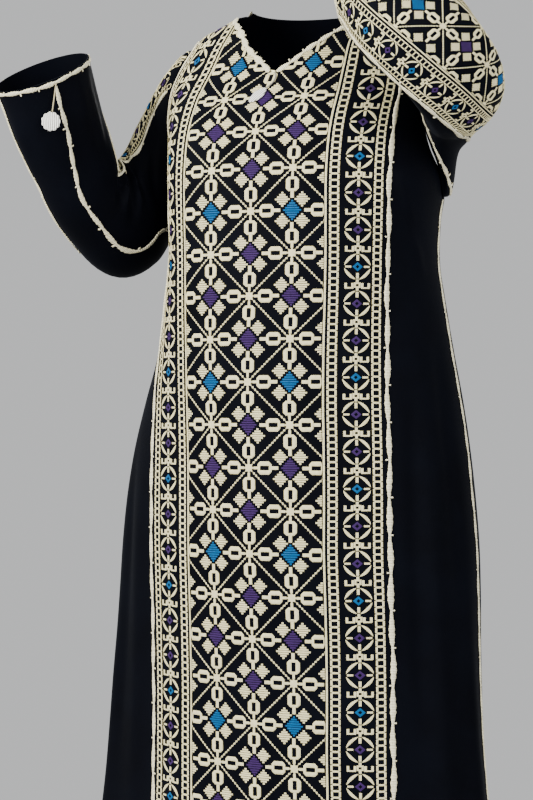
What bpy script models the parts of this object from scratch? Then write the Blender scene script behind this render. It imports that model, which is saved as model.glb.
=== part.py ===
"""A long abaya as it is worn: hollow cloth, an embroidered front panel, two bent sleeves.

Metres, +Z up. The front faces -Y. Left and right are as seen from the front.
The origin is between the shoulders, at the height of the back of the neck,
where the garment is held up. Every piece is a closed wall of cloth.

A surface is read by two distances: how far round it, measured along the cloth
from a middle line, and its level, a height on the body or a distance along a sleeve.
"""
import math

import bmesh
import bpy
import numpy as np
from mathutils import Matrix

# Cloth, seams and trim
CLOTH = 0.0018
SEAM = 0.0003
BRAID_WIDE = 0.0085
BRAID_NARROW = 0.0040
BRAID_THICK = 0.0014
BRAID_LIFT = 0.0009
SCALLOP = 0.048
TRIM_END_GAP = 0.004
HEM_MARGIN = 0.001
STATION_GAP = 0.011
SLEEVE_SLACK = 0.0016
SLACK_RAMP = {"front": 0.120, "back": 0.120, "under": 0.018}
PANEL_BRAID_TOP = -0.044
NECK_BRAID_TOP = -0.014

# Heights of the garment
HEM = -1.400
ARMHOLE_MIDDLE = -0.165
ARMHOLE_HALF = 0.113
ARMHOLE_STEPS = 12
NECK_POINT = -0.005
NECK_BACK = 0.0
VEE_BOTTOM = ARMHOLE_MIDDLE + ARMHOLE_HALF * math.cos(math.pi * 4 / ARMHOLE_STEPS)
SHOULDER_LEVELS = (-0.043, -0.034, -0.025, -0.015, NECK_POINT)
SIDE_PIECE_TOP = -0.034
SKIRT_ROWS = 14
PANEL_STRIPS = 8
SIDE_STRIPS = 7
BACK_COLUMNS = 28

# Widths along the cloth, from the front centre line or the sleeve's middle line
PANEL_HALF = 0.192
PANEL_TAKEN_IN = 0.016
ARMHOLE_FRONT = 0.045
ARMHOLE_BACK = 0.062
SLEEVE_FRONT_EDGE = 0.082
SLEEVE_BACK_EDGE = -0.108
POINT_WIDTH = 0.003

# Level sections of the body, from the neck down to the hem. The columns are the height,
# the reach to the left, right, front and back, how square the left and right of the front
# are, where the section's middle lies, and its turn in degrees
BODY_ROWS = (
    (0.000, 0.088, 0.088, 0.052, 0.070, 2.00, 2.00, 0.022, 6.0),
    (-0.020, 0.127, 0.127, 0.072, 0.086, 2.00, 2.00, 0.021, 7.0),
    (-0.040, 0.160, 0.160, 0.088, 0.098, 2.05, 2.05, 0.017, 8.0),
    (-0.060, 0.168, 0.174, 0.093, 0.103, 2.14, 2.20, 0.008, 6.8),
    (-0.100, 0.180, 0.189, 0.100, 0.110, 2.50, 2.44, -0.002, 5.2),
    (-0.143, 0.173, 0.201, 0.125, 0.115, 3.10, 2.50, -0.010, 5.8),
    (-0.195, 0.158, 0.216, 0.155, 0.120, 3.55, 2.50, -0.016, 6.8),
    (-0.252, 0.155, 0.229, 0.176, 0.124, 3.55, 2.50, -0.014, 6.4),
    (-0.312, 0.154, 0.221, 0.180, 0.127, 3.36, 2.40, -0.013, 6.1),
    (-0.370, 0.160, 0.217, 0.184, 0.131, 3.02, 2.16, -0.010, 5.4),
    (-0.429, 0.173, 0.223, 0.188, 0.137, 2.64, 1.95, -0.007, 4.5),
    (-0.497, 0.194, 0.233, 0.190, 0.144, 2.20, 1.90, -0.005, 3.6),
    (-0.565, 0.224, 0.245, 0.190, 0.151, 1.86, 1.90, -0.004, 3.2),
    (-0.633, 0.251, 0.252, 0.190, 0.157, 1.72, 1.90, 0.000, 2.4),
    (-0.701, 0.271, 0.256, 0.190, 0.161, 1.70, 1.90, 0.005, 1.2),
    (-0.769, 0.285, 0.259, 0.189, 0.164, 1.70, 1.90, 0.009, 0.0),
    (-0.836, 0.294, 0.259, 0.187, 0.165, 1.70, 1.90, 0.012, -0.5),
    (-0.904, 0.301, 0.259, 0.182, 0.166, 1.70, 1.93, 0.013, -0.8),
    (-0.972, 0.307, 0.261, 0.177, 0.168, 1.70, 2.03, 0.013, -1.0),
    (-1.040, 0.311, 0.265, 0.173, 0.171, 1.71, 2.09, 0.012, -1.1),
    (-1.105, 0.315, 0.270, 0.170, 0.174, 1.75, 2.10, 0.012, -1.1),
    (-1.250, 0.327, 0.280, 0.169, 0.180, 1.88, 2.04, 0.010, -0.6),
    (-1.400, 0.340, 0.292, 0.172, 0.188, 2.00, 2.00, 0.010, 0.0),
)
BACK_POWER = 2.2

# Soft upright folds of the skirt: place round the girth, depth at the hem, spread, top
FOLD_ROWS = (
    (-0.070, 0.006, 0.034, -0.45),
    (-0.140, -0.009, 0.030, -0.50),
    (-0.205, 0.011, 0.030, -0.42),
    (-0.275, -0.010, 0.030, -0.55),
    (-0.345, 0.013, 0.032, -0.48),
    (-0.425, -0.011, 0.034, -0.60),
    (0.150, -0.007, 0.030, -0.50),
    (0.215, 0.010, 0.028, -0.40),
    (0.280, -0.010, 0.030, -0.55),
    (0.350, 0.013, 0.032, -0.45),
    (0.428, -0.010, 0.032, -0.62),
    (0.495, 0.013, 0.030, -0.50),
)

# Arms: name, side, how far the middle line starts from the armhole, its corner, its cuff, its bend's
# radius, and how far down the sleeve its flared root ends
ARM_ROWS = (
    ("left", -1, 0.030, (-0.268, -0.060, -0.418), (-0.288, -0.238, -0.110), 0.079, 0.135),
    ("right", 1, 0.038, (0.367, -0.295, -0.166), (0.182, -0.161, -0.037), 0.080, 0.103),
)

# Sections of a sleeve: how far along it, half its size across the arm's bend, inside
# the bend and outside it, and its twist in degrees
SLEEVE_ROWS = {
    "left": (
        (0.00, 0.057, 0.062, 0.062, 0.0),
        (0.20, 0.057, 0.070, 0.060, -16.0),
        (0.38, 0.047, 0.072, 0.098, 25.0),
        (0.50, 0.046, 0.067, 0.062, 31.0),
        (0.66, 0.048, 0.070, 0.057, 30.0),
        (0.82, 0.056, 0.070, 0.066, 21.0),
        (1.00, 0.057, 0.076, 0.070, 16.0),
    ),
    "right": (
        (0.00, 0.056, 0.056, 0.062, 45.0),
        (0.22, 0.055, 0.062, 0.040, 18.0),
        (0.36, 0.059, 0.058, 0.042, -13.0),
        (0.50, 0.063, 0.055, 0.029, -35.0),
        (0.64, 0.065, 0.054, 0.028, -54.0),
        (0.80, 0.071, 0.044, 0.048, -68.0),
        (1.00, 0.056, 0.069, 0.080, -58.0),
    ),
}
ROOT_LIFT = 0.0016
ROOT_FULLNESS = 0.5
SLEEVE_LEVELS = 23
OUTER_STRIPS = 11
PLAIN_STRIPS = 6
SLEEVE_BRAID_START = 0.012

# Charms on cords: one at the neck, one at the left cuff. The columns of the neck cord
# are how far round it lies, its level, and how far its middle stands off the cloth
CORD_RADIUS = 0.0009
CORD_CLEARANCE = 0.0007
NECK_CORD = (
    (0.0042, -0.1098, 0.0016),
    (0.0076, -0.1170, 0.0016),
    (0.0062, -0.1262, 0.0020),
    (0.0001, -0.1344, 0.0027),
)
NECK_CHARM_HALF = (0.0062, 0.0020, 0.0145)
NECK_CHARM_PLACE = (-0.0090, -0.1445)
NECK_CHARM_LEAN = -42.0
CUFF_CORD_LENGTH = 0.040
CUFF_CORD_LEAN = 9.0
CUFF_CHARM_RADIUS = 0.0130
CUFF_CHARM_THICK = 0.0030
CUFF_CHARM_TURN = 24.0

# How finely each surface is worked out before its pieces are laid on it
DENSE_TURN = 720
ARC_STEP = 0.004
LEVEL_STEP = 0.004
SLEEVE_STATIONS = 140

# Colours of the cloth, the stitched panels and the cream thread
NAVY_BLACK = (0.012, 0.012, 0.020)
STITCHED = (0.420, 0.400, 0.330)
CREAM = (0.780, 0.730, 0.590)


def smooth_table(rows, key):
    """Rows of a table at given values of its first column, on a smooth curve through it."""
    table = np.array(rows, dtype=float)
    if table[0, 0] > table[-1, 0]:
        table = table[::-1]
    keys = table[:, 0]
    slopes = np.gradient(table, keys, axis=0)
    key = np.clip(np.atleast_1d(key), keys[0], keys[-1])
    index = np.clip(np.searchsorted(keys, key) - 1, 0, len(keys) - 2)
    span = (keys[index + 1] - keys[index])[:, None]
    t = (key - keys[index])[:, None] / span
    start = (1 + 2 * t) * (1 - t) ** 2 * table[index]
    start_slope = t * (1 - t) ** 2 * span * slopes[index]
    end = t ** 2 * (3 - 2 * t) * table[index + 1]
    end_slope = t ** 2 * (t - 1) * span * slopes[index + 1]
    return start + start_slope + end + end_slope


def smooth_step(value):
    """0 below 0, 1 above 1, and a soft rise between them."""
    value = np.clip(value, 0.0, 1.0)
    return value * value * (3.0 - 2.0 * value)


def unit(vectors):
    """Vectors of length one."""
    return vectors / np.maximum(np.linalg.norm(vectors, axis=-1, keepdims=True), 1e-12)


class Surface:
    """A tube of cloth, kept as points at even steps round it and along it."""

    def __init__(self, rings, levels, steps, girths, outward=1.0):
        self.points = rings
        self.levels = levels
        self.steps = steps
        self.girths = girths
        self.outward = outward
        around = np.gradient(rings, steps, axis=1)
        along = np.gradient(rings, levels, axis=0)
        self.normals = unit(np.cross(around, along)) * outward

    def look_up(self, array, arc, level):
        """Read an array of the surface at distances round it and levels along it."""
        arc, level = np.broadcast_arrays(np.asarray(arc, float), np.asarray(level, float))
        column = (arc - self.steps[0]) / (self.steps[1] - self.steps[0])
        row = (level - self.levels[0]) / (self.levels[1] - self.levels[0])
        column = np.clip(column, 0, len(self.steps) - 1.001)
        row = np.clip(row, 0, len(self.levels) - 1.001)
        i, j = row.astype(int), column.astype(int)
        v, u = (row - i)[..., None], (column - j)[..., None]
        low = array[i, j] * (1 - u) + array[i, j + 1] * u
        high = array[i + 1, j] * (1 - u) + array[i + 1, j + 1] * u
        return low * (1 - v) + high * v

    def at(self, arc, level, out=0.0):
        """Points of the surface, moved out from it."""
        normal = unit(self.look_up(self.normals, arc, level))
        return self.look_up(self.points, arc, level) + normal * out

    def girth(self, level):
        """The whole way round at a level."""
        return np.interp(level, self.levels, self.girths)


def even_ring(ring, steps):
    """Points at given distances along a closed ring, both ways from its first point."""
    closed = np.vstack([ring, ring[:1]])
    lengths = np.linalg.norm(np.diff(closed, axis=0), axis=1)
    travelled = np.concatenate([[0.0], np.cumsum(lengths)])
    wrapped = np.mod(steps, travelled[-1])
    points = np.stack([np.interp(wrapped, travelled, closed[:, k]) for k in range(3)], axis=1)
    return points, travelled[-1]


def fold_depth(place, height):
    """How far the skirt's folds push the cloth out, by place round the girth and height."""
    total = np.zeros_like(place)
    for middle, depth, spread, top in FOLD_ROWS:
        apart = np.mod(place - middle + 0.5, 1.0) - 0.5
        growth = smooth_step((top - height) / (top - HEM))
        total += depth * growth * np.exp(-((apart / spread) ** 2))
    return total


def body_ring(height):
    """The cloth's outline at one height, from the front centre round by the right."""
    row = smooth_table(BODY_ROWS, height)[0]
    left, right, front, back, power_left, power_right, middle, turn = row[1:]
    angle = np.arange(DENSE_TURN) / DENSE_TURN * 2 * math.pi
    side, fore = np.sin(angle), np.cos(angle)
    width = np.where(side >= 0, right, left)
    depth = np.where(fore >= 0, -front, back)
    power = np.where(side >= 0, power_right, power_left)
    power = np.where(fore >= 0, power, BACK_POWER)
    x = width * np.sign(side) * np.abs(side) ** (2 / power)
    y = depth * np.abs(fore) ** (2 / power)
    turn = math.radians(turn)
    ring = np.stack([
        middle + x * math.cos(turn) - y * math.sin(turn),
        x * math.sin(turn) + y * math.cos(turn),
        np.full_like(x, height),
    ], axis=1)
    ahead = np.roll(ring, -1, axis=0) - np.roll(ring, 1, axis=0)
    outward = unit(np.stack([ahead[:, 1], -ahead[:, 0], np.zeros_like(x)], axis=1))
    lengths = np.linalg.norm(np.roll(ring, -1, axis=0) - ring, axis=1)
    travelled = np.concatenate([[0.0], np.cumsum(lengths)])
    side_right = travelled[DENSE_TURN // 4]
    side_left = travelled[-1] - travelled[3 * DENSE_TURN // 4]
    ring = ring + outward * fold_depth(travelled[:-1] / travelled[-1], height)[:, None]
    return ring, side_left, side_right


class Body(Surface):
    """The body of the garment, which also knows its side seams, armholes and neck."""

    def __init__(self):
        levels = np.arange(HEM, NECK_BACK + LEVEL_STEP / 2, LEVEL_STEP)
        steps = np.arange(-1.1, 1.1 + ARC_STEP / 2, ARC_STEP)
        rings, girths, lefts, rights = [], [], [], []
        for level in levels:
            ring, side_left, side_right = body_ring(level)
            points, girth = even_ring(ring, steps)
            rings.append(points)
            girths.append(girth)
            lefts.append(side_left)
            rights.append(side_right)
        super().__init__(np.array(rings), levels, steps, np.array(girths))
        self.sides = {-1: np.array(lefts), 1: np.array(rights)}

    def side_seam(self, side, level):
        """From the front centre to the side seam, or above it the shoulder seam."""
        return np.interp(level, self.levels, self.sides[side])

    def panel_edge(self, side, level):
        """Where the front panel ends: a straight cut that the shoulder takes in."""
        narrowed = PANEL_HALF - PANEL_TAKEN_IN * smooth_step((level + 0.15) / 0.10)
        return np.minimum(narrowed, self.side_seam(side, level) - SEAM)

    def vee_reach(self, side, level):
        """Half the width of the neck's V at a height."""
        share = np.clip((level - VEE_BOTTOM) / (NECK_POINT - VEE_BOTTOM), 0.0, 1.0)
        widest = self.side_seam(side, NECK_POINT) - SEAM - POINT_WIDTH
        return widest * share


def armhole_reach(level, width):
    """Half the width of the armhole at a height, towards the front or the back."""
    share = (level - ARMHOLE_MIDDLE) / ARMHOLE_HALF
    return width * np.sqrt(np.clip(1.0 - share * share, 0.0, 1.0))


def new_object(name, points, faces, colour, roughness=0.85):
    """A named object with its own material."""
    mesh = bpy.data.meshes.new(name)
    mesh.from_pydata([tuple(point) for point in points], [], faces)
    shape = bmesh.new()
    shape.from_mesh(mesh)
    bmesh.ops.triangulate(shape, faces=shape.faces)
    shape.to_mesh(mesh)
    shape.free()
    mesh.shade_smooth()
    made = bpy.data.objects.new(name, mesh)
    bpy.context.scene.collection.objects.link(made)
    paint(made, colour, roughness)
    return made


def paint(made, colour, roughness):
    """Give an object its own Principled material."""
    material = bpy.data.materials.new(made.name)
    material.use_nodes = True
    shader = material.node_tree.nodes["Principled BSDF"]
    shader.inputs["Base Color"].default_value = (*colour, 1.0)
    shader.inputs["Roughness"].default_value = roughness
    shader.inputs["Metallic"].default_value = 0.0
    made.data.materials.append(material)


def wall(name, outer, inner, faces, colour):
    """A closed wall between two sheets of points that share their faces."""
    count = len(outer)
    edges = {(a, b) for face in faces for a, b in zip(face, face[1:] + face[:1])}
    rim = sorted(pair for pair in edges if (pair[1], pair[0]) not in edges)
    all_faces = [tuple(face) for face in faces]
    all_faces += [tuple(count + k for k in reversed(face)) for face in faces]
    all_faces += [(b, a, count + a, count + b) for a, b in rim]
    return new_object(name, np.vstack([outer, inner]), all_faces, colour)


def grid_faces(rows, columns, closed=False):
    """Faces of a grid whose columns run to the right and whose rows run up."""
    faces = []
    for i in range(rows - 1):
        for j in range(columns if closed else columns - 1):
            a = i * columns + j
            b = i * columns + (j + 1) % columns
            faces.append([a, b, b + columns, a + columns])
    return faces


def laid_piece(name, surface, arcs, levels, colour, lift=0.0, thick=CLOTH, closed=False):
    """A wall whose points follow a surface; lift is how far its inner side stands out."""
    if surface.outward < 0:
        arcs, levels = arcs[:, ::-1], levels[:, ::-1]
    outer = surface.at(arcs, levels, lift + thick)
    inner = surface.at(arcs, levels, lift)
    faces = grid_faces(*arcs.shape, closed=closed)
    return wall(name, outer.reshape(-1, 3), inner.reshape(-1, 3), faces, colour)


def cloth_piece(name, surface, arcs, levels, colour):
    """A piece of cloth with its outer side on the surface."""
    return laid_piece(name, surface, arcs, levels, colour, lift=-CLOTH)


def body_rows():
    """Heights of the rows of points, closer together at the armholes and the shoulders."""
    bottom = ARMHOLE_MIDDLE - ARMHOLE_HALF
    skirt = np.linspace(HEM, bottom, SKIRT_ROWS)[:-1]
    turns = np.linspace(math.pi, 0.0, ARMHOLE_STEPS + 1)
    armhole = ARMHOLE_MIDDLE + ARMHOLE_HALF * np.cos(turns)
    return np.concatenate([skirt, armhole, SHOULDER_LEVELS])


def front_panel(body, rows):
    """The embroidered front, one piece with the V of the neck cut down into it."""
    share = np.linspace(0.0, 1.0, PANEL_STRIPS + 1)
    numbers, arcs, levels = {}, [], []
    for i, level in enumerate(rows):
        for side in (-1, 1):
            edge = body.panel_edge(side, level)
            inside = body.vee_reach(side, level)
            for k, t in enumerate(share):
                if k == 0 and side > 0 and inside == 0.0:
                    numbers[i, side, k] = numbers[i, -1, 0]
                    continue
                numbers[i, side, k] = len(arcs)
                arcs.append(side * (inside + (edge - inside) * t))
                levels.append(level)
    faces = []
    for i in range(len(rows) - 1):
        for side in (-1, 1):
            for k in range(PANEL_STRIPS):
                corners = ((i, k), (i, k + 1), (i + 1, k + 1), (i + 1, k))
                face = [numbers[row, side, column] for row, column in corners]
                faces.append(face if side > 0 else face[::-1])
    arcs, levels = np.array(arcs), np.array(levels)
    return wall("front_panel", body.at(arcs, levels), body.at(arcs, levels, -CLOTH), faces, STITCHED)


def front_side(body, rows, side):
    """The plain cloth between the front panel and the side seam or armhole."""
    rows = rows[rows <= SIDE_PIECE_TOP + 1e-6]
    inner_edge = body.panel_edge(side, rows) + SEAM
    outer_edge = body.side_seam(side, rows) - armhole_reach(rows, ARMHOLE_FRONT) - SEAM
    outer_edge = np.maximum(outer_edge, inner_edge + POINT_WIDTH)
    share = np.linspace(0.0, 1.0, SIDE_STRIPS + 1)[None, :]
    arcs = inner_edge[:, None] + (outer_edge - inner_edge)[:, None] * share
    arcs = arcs if side > 0 else -arcs[:, ::-1]
    levels = np.repeat(rows[:, None], SIDE_STRIPS + 1, axis=1)
    name = "front_side_right" if side > 0 else "front_side_left"
    cloth_piece(name, body, arcs, levels, NAVY_BLACK)


def back_arcs(body, rows, columns):
    """Distances round the body across the back, from the right seam to the left one."""
    reach = armhole_reach(rows, ARMHOLE_BACK)
    start = body.side_seam(1, rows) + reach
    end = body.girth(rows) - body.side_seam(-1, rows) - reach
    share = np.linspace(0.0, 1.0, columns)[None, :]
    arcs = start[:, None] + (end - start)[:, None] * share
    girth = body.girth(rows)[:, None]
    return np.where(arcs > girth / 2, arcs - girth, arcs)


def back_piece(body, rows):
    """The back, from one side seam round to the other, up to the neck."""
    rows = np.append(rows, NECK_BACK)
    levels = np.repeat(rows[:, None], BACK_COLUMNS, axis=1)
    cloth_piece("back", body, back_arcs(body, rows, BACK_COLUMNS), levels, NAVY_BLACK)


def scallop_half(travelled):
    """Half the braid's width at distances along it."""
    swell = np.abs(np.sin(np.asarray(travelled) / SCALLOP * math.pi))
    return (BRAID_NARROW + (BRAID_WIDE - BRAID_NARROW) * swell) / 2


def seam_trim(name, surface, rows, path, reaches, low, high, slack=0.0, ramp=1.0):
    """A scalloped braid along a seam, bent over the facets on both sides of it.

    The path is the seam at each row; the reaches are how far the cloth runs straight
    to its next column of points, before and after the seam. Slack lifts it off the
    cloth, and grows over the ramp's length from each end.
    """
    stations = np.linspace(low, high, 2 * round((high - low) / SCALLOP) + 1)
    inside = rows[(rows > low) & (rows < high)]
    apart = np.abs(stations[:, None] - inside[None, :]).min(axis=1) if len(inside) else stations
    levels = np.sort(np.concatenate([inside, stations[apart > STATION_GAP], [low, high]]))
    levels = np.unique(levels)
    half = scallop_half(levels - low)[:, None]
    above = np.clip(np.searchsorted(rows, levels), 1, len(rows) - 1)
    share = ((levels - rows[above - 1]) / (rows[above] - rows[above - 1]))[:, None]

    def between_rows(sheet):
        return sheet[above - 1] * (1 - share) + sheet[above] * share

    from_end = np.minimum(rows - low, high - rows)
    lift = BRAID_LIFT + slack * smooth_step(from_end / ramp)

    def edge(middle, beside, reach):
        way = (beside - middle) / np.reshape(reach, (-1, 1))
        return between_rows(middle) + between_rows(way) * half

    before, after = reaches
    sheets = []
    for out in (lift + BRAID_THICK, lift):
        out = out[:, None]
        middle = surface.at(path, rows, out)
        low_side = edge(middle, surface.at(path - before, rows, out), before)
        high_side = edge(middle, surface.at(path + after, rows, out), after)
        columns = [low_side, between_rows(middle), high_side]
        if surface.outward < 0:
            columns.reverse()
        sheets.append(np.stack(columns, axis=1).reshape(-1, 3))
    wall(name, sheets[0], sheets[1], grid_faces(len(levels), 3), CREAM)


def body_trims(body, rows):
    """Braids on the panel's edges, the side seams, the V and the back of the neck."""
    underarm = ARMHOLE_MIDDLE - ARMHOLE_HALF - TRIM_END_GAP
    hem = HEM + HEM_MARGIN
    for side, name in ((-1, "left"), (1, "right")):
        edge = body.panel_edge(side, rows)
        vee = body.vee_reach(side, rows)
        seam = body.side_seam(side, rows)
        panel_step = (edge - vee) / PANEL_STRIPS
        front_step = np.maximum(seam - armhole_reach(rows, ARMHOLE_FRONT) - edge, POINT_WIDTH) / SIDE_STRIPS
        reach = armhole_reach(rows, ARMHOLE_BACK)
        across = body.girth(rows) - body.side_seam(-1, rows) - body.side_seam(1, rows) - 2 * reach
        back_step = across / (BACK_COLUMNS - 1)
        steps = (panel_step, front_step)[::side]
        seam_trim(f"panel_braid_{name}", body, rows, side * (edge + SEAM / 2), steps, hem, PANEL_BRAID_TOP)
        steps = (front_step, back_step)[::side]
        seam_trim(f"side_braid_{name}", body, rows, side * (seam - SEAM / 2), steps, hem, underarm)
        path = side * (vee + panel_step / 2)
        steps = (panel_step / 2, panel_step / 2)
        seam_trim(f"neck_braid_{name}", body, rows, path, steps, VEE_BOTTOM, NECK_BRAID_TOP)
    level = NECK_POINT
    columns = back_arcs(body, np.array([level]), BACK_COLUMNS)[0, 1:-1]
    half = scallop_half(np.arange(len(columns)) / (len(columns) - 1) * 4 * SCALLOP)
    half = np.minimum(half, (NECK_BACK - level) * 0.8)
    arcs = np.repeat(columns[None, :], 3, axis=0)
    levels = np.stack([level - half, np.full_like(half, level), level + half])
    laid_piece("neck_braid_back", body, arcs, levels, CREAM, BRAID_LIFT, BRAID_THICK)


def armhole_ring(body, side, turns):
    """Points round an armhole: from its top by the front, below the arm, and the back."""
    levels = ARMHOLE_MIDDLE + ARMHOLE_HALF * np.cos(turns)
    fore = np.sin(turns)
    width = np.where(fore >= 0, ARMHOLE_FRONT, ARMHOLE_BACK)
    arcs = side * (body.side_seam(side, levels) - fore * width)
    return body.at(arcs, levels, ROOT_LIFT), body.look_up(body.normals, arcs, levels)


def rounded_path(start, corner, end, radius, shares):
    """Two straight runs with a round bend: points, directions, the bend's axis, length."""
    a, b = unit(corner - start), unit(end - corner)
    half = 0.5 * math.acos(float(np.clip(np.dot(-a, b), -1.0, 1.0)))
    cut = radius / math.tan(half)
    arc = radius * (math.pi - 2 * half)
    centre = corner + unit(b - a) * radius / math.sin(half)
    inward = unit(centre - (corner - a * cut))
    first = np.linalg.norm(corner - start) - cut
    total = first + arc + np.linalg.norm(end - corner) - cut
    points, directions = [], []
    for run in shares * total:
        if run <= first:
            points.append(start + a * run)
            directions.append(a)
        elif run <= first + arc:
            angle = (run - first) / radius
            points.append(centre + radius * (a * math.sin(angle) - inward * math.cos(angle)))
            directions.append(a * math.cos(angle) + inward * math.sin(angle))
        else:
            points.append(corner + b * (cut + run - first - arc))
            directions.append(b)
    return np.array(points), np.array(directions), unit(np.cross(a, b)), total


def sleeve_root(rings, ring, ring_normals, directions, last):
    """Blend the first rings from the armhole's own ring to the tube."""
    target = rings[last]
    reach = np.linalg.norm(target - ring, axis=1)[:, None] * ROOT_FULLNESS
    for k in range(last):
        t = k / last
        rings[k] = (1 + 2 * t) * (1 - t) ** 2 * ring
        rings[k] += t * (1 - t) ** 2 * reach * ring_normals
        rings[k] += t * t * (3 - 2 * t) * target
        rings[k] += t * t * (t - 1) * reach * directions[last]


def sleeve_rings(body, arm):
    """Rings of points down one sleeve, their middles, their levels."""
    name, side, stand_off, corner, cuff, bend, root = arm
    turns = np.arange(DENSE_TURN // 2) / (DENSE_TURN // 2) * 2 * math.pi
    ring, ring_normals = armhole_ring(body, side, turns)
    start = ring.mean(axis=0) + np.array([side * stand_off, 0.0, 0.0])
    corner, cuff = np.array(corner), np.array(cuff)
    shares = np.linspace(0.0, 1.0, SLEEVE_STATIONS)
    centres, directions, lateral, total = rounded_path(start, corner, cuff, bend, shares)
    sizes = smooth_table(SLEEVE_ROWS[name], shares)
    if np.dot(lateral, (side, 0.0, 0.6)) < 0:
        lateral = -lateral
    rings = []
    for k in range(SLEEVE_STATIONS):
        inward = unit(np.cross(directions[k], lateral))
        if np.dot(inward, cuff + start - 2 * corner) < 0:
            inward = -inward
        angle = turns + math.radians(sizes[k, 4])
        across = np.cos(angle) * sizes[k, 1]
        towards = np.sin(angle) * np.where(np.sin(angle) >= 0, sizes[k, 2], sizes[k, 3])
        rings.append(centres[k] + across[:, None] * lateral + towards[:, None] * inward)
    last = int(np.searchsorted(shares * total, root))
    sleeve_root(rings, ring, ring_normals, directions, last)
    return rings, centres, shares * total


def make_sleeve(body, arm):
    """One sleeve as a surface: a flared root at the armhole, then a bent tube to the cuff."""
    rings, centres, levels = sleeve_rings(body, arm)
    steps = np.arange(-0.32, 0.32 + ARC_STEP / 2, ARC_STEP)
    evened = [even_ring(one, steps) for one in rings]
    points = np.array([one for one, girth in evened])
    girths = np.array([girth for one, girth in evened])
    surface = Surface(points, levels, steps, girths)
    outwards = surface.points[-1, len(steps) // 2] - centres[-1]
    if np.dot(surface.normals[-1, len(steps) // 2], outwards) < 0:
        surface = Surface(points, levels, steps, girths, outward=-1.0)
    surface.total = levels[-1]
    surface.name = arm[0]
    return surface


def sleeve_pieces(sleeve):
    """The embroidered outer piece, and the two plain pieces that meet under the arm."""
    rows = np.linspace(0.0, sleeve.total, SLEEVE_LEVELS)
    half = sleeve.girth(rows) / 2
    front = np.full_like(rows, SLEEVE_FRONT_EDGE)
    back = np.full_like(rows, SLEEVE_BACK_EDGE)
    plan = (
        ("outer", back, front, OUTER_STRIPS, STITCHED),
        ("front", front + SEAM, half - SEAM, PLAIN_STRIPS, NAVY_BLACK),
        ("back", -half + SEAM, back - SEAM, PLAIN_STRIPS, NAVY_BLACK),
    )
    for part, low, high, strips, colour in plan:
        share = np.linspace(0.0, 1.0, strips + 1)[None, :]
        arcs = low[:, None] + (high - low)[:, None] * share
        levels = np.repeat(rows[:, None], strips + 1, axis=1)
        cloth_piece(f"sleeve_{sleeve.name}_{part}", sleeve, arcs, levels, colour)
    return rows


def sleeve_trims(sleeve, rows):
    """Braids on both edges of the sleeve's panel, under the arm, and round the cuff."""
    cuff = sleeve.total - BRAID_WIDE - TRIM_END_GAP / 2
    half = sleeve.girth(rows) / 2
    front = np.full_like(rows, SLEEVE_FRONT_EDGE + SEAM / 2)
    back = np.full_like(rows, SLEEVE_BACK_EDGE - SEAM / 2)
    outer_step = (front - back) / OUTER_STRIPS
    front_step = (half - front) / PLAIN_STRIPS
    back_step = (half + back) / PLAIN_STRIPS
    lines = (
        ("front", front, (outer_step, front_step)),
        ("back", back, (back_step, outer_step)),
        ("under", half, (front_step, back_step)),
    )
    for part, path, steps in lines:
        name = f"sleeve_{sleeve.name}_braid_{part}"
        run = (SLEEVE_BRAID_START, cuff, SLEEVE_SLACK, SLACK_RAMP[part])
        seam_trim(name, sleeve, rows, path, steps, *run)
    columns = 24
    half = float(sleeve.girth(sleeve.total)) / 2
    arcs = (np.arange(columns) / columns * 2 - 1) * half
    wide = 2 * scallop_half(np.arange(columns) * SCALLOP / 2)
    middle = sleeve.total - BRAID_WIDE / 2
    levels = np.stack([middle - wide / 2, middle + wide / 2])
    arcs = np.stack([arcs, arcs])
    name = f"sleeve_{sleeve.name}_braid_cuff"
    laid_piece(name, sleeve, arcs, levels, CREAM, BRAID_LIFT, BRAID_THICK, closed=True)


def cord(name, points):
    """A thin round cord along points, as a filled curve."""
    curve = bpy.data.curves.new(name, "CURVE")
    curve.dimensions = "3D"
    curve.bevel_depth = CORD_RADIUS
    curve.bevel_resolution = 2
    curve.use_fill_caps = True
    line = curve.splines.new("POLY")
    line.points.add(len(points) - 1)
    for slot, point in zip(line.points, points):
        slot.co = (*point, 1.0)
    made = bpy.data.objects.new(name, curve)
    bpy.context.scene.collection.objects.link(made)
    paint(made, CREAM, 0.8)


def smooth_line(points, count):
    """Points at even steps along a smooth curve through a few places."""
    points = np.array(points, dtype=float)
    keys = np.linspace(0.0, 1.0, len(points))
    return smooth_table(np.column_stack([keys, points]), np.linspace(0.0, 1.0, count))[:, 1:]


def neck_charm(body):
    """A leaf on a short cord, lying on the panel below the V."""
    line = smooth_line(NECK_CORD, 16)
    cord("neck_charm_cord", body.at(line[:, 0], line[:, 1], line[:, 2:]))
    arc, level = NECK_CHARM_PLACE
    width, thick, length = NECK_CHARM_HALF
    centre = body.at(arc, level, thick + CORD_CLEARANCE)
    normal = unit(body.look_up(body.normals, arc, level))
    upward = unit(np.array([0.0, 0.0, 1.0]) - normal * normal[2])
    across = np.cross(normal, upward)
    frame = Matrix((across, normal, upward)).transposed().to_4x4()
    shape = bmesh.new()
    bmesh.ops.create_uvsphere(shape, u_segments=12, v_segments=8, radius=1.0)
    for vertex in shape.verts:
        x, y, z = vertex.co
        vertex.co = (x * width * (1 - 0.3 * z * z), y * thick, z * length)
    lean = Matrix.Rotation(math.radians(NECK_CHARM_LEAN), 4, "Y")
    placed = Matrix.Translation(centre) @ frame @ lean
    charm_object("neck_charm", shape, placed)


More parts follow.
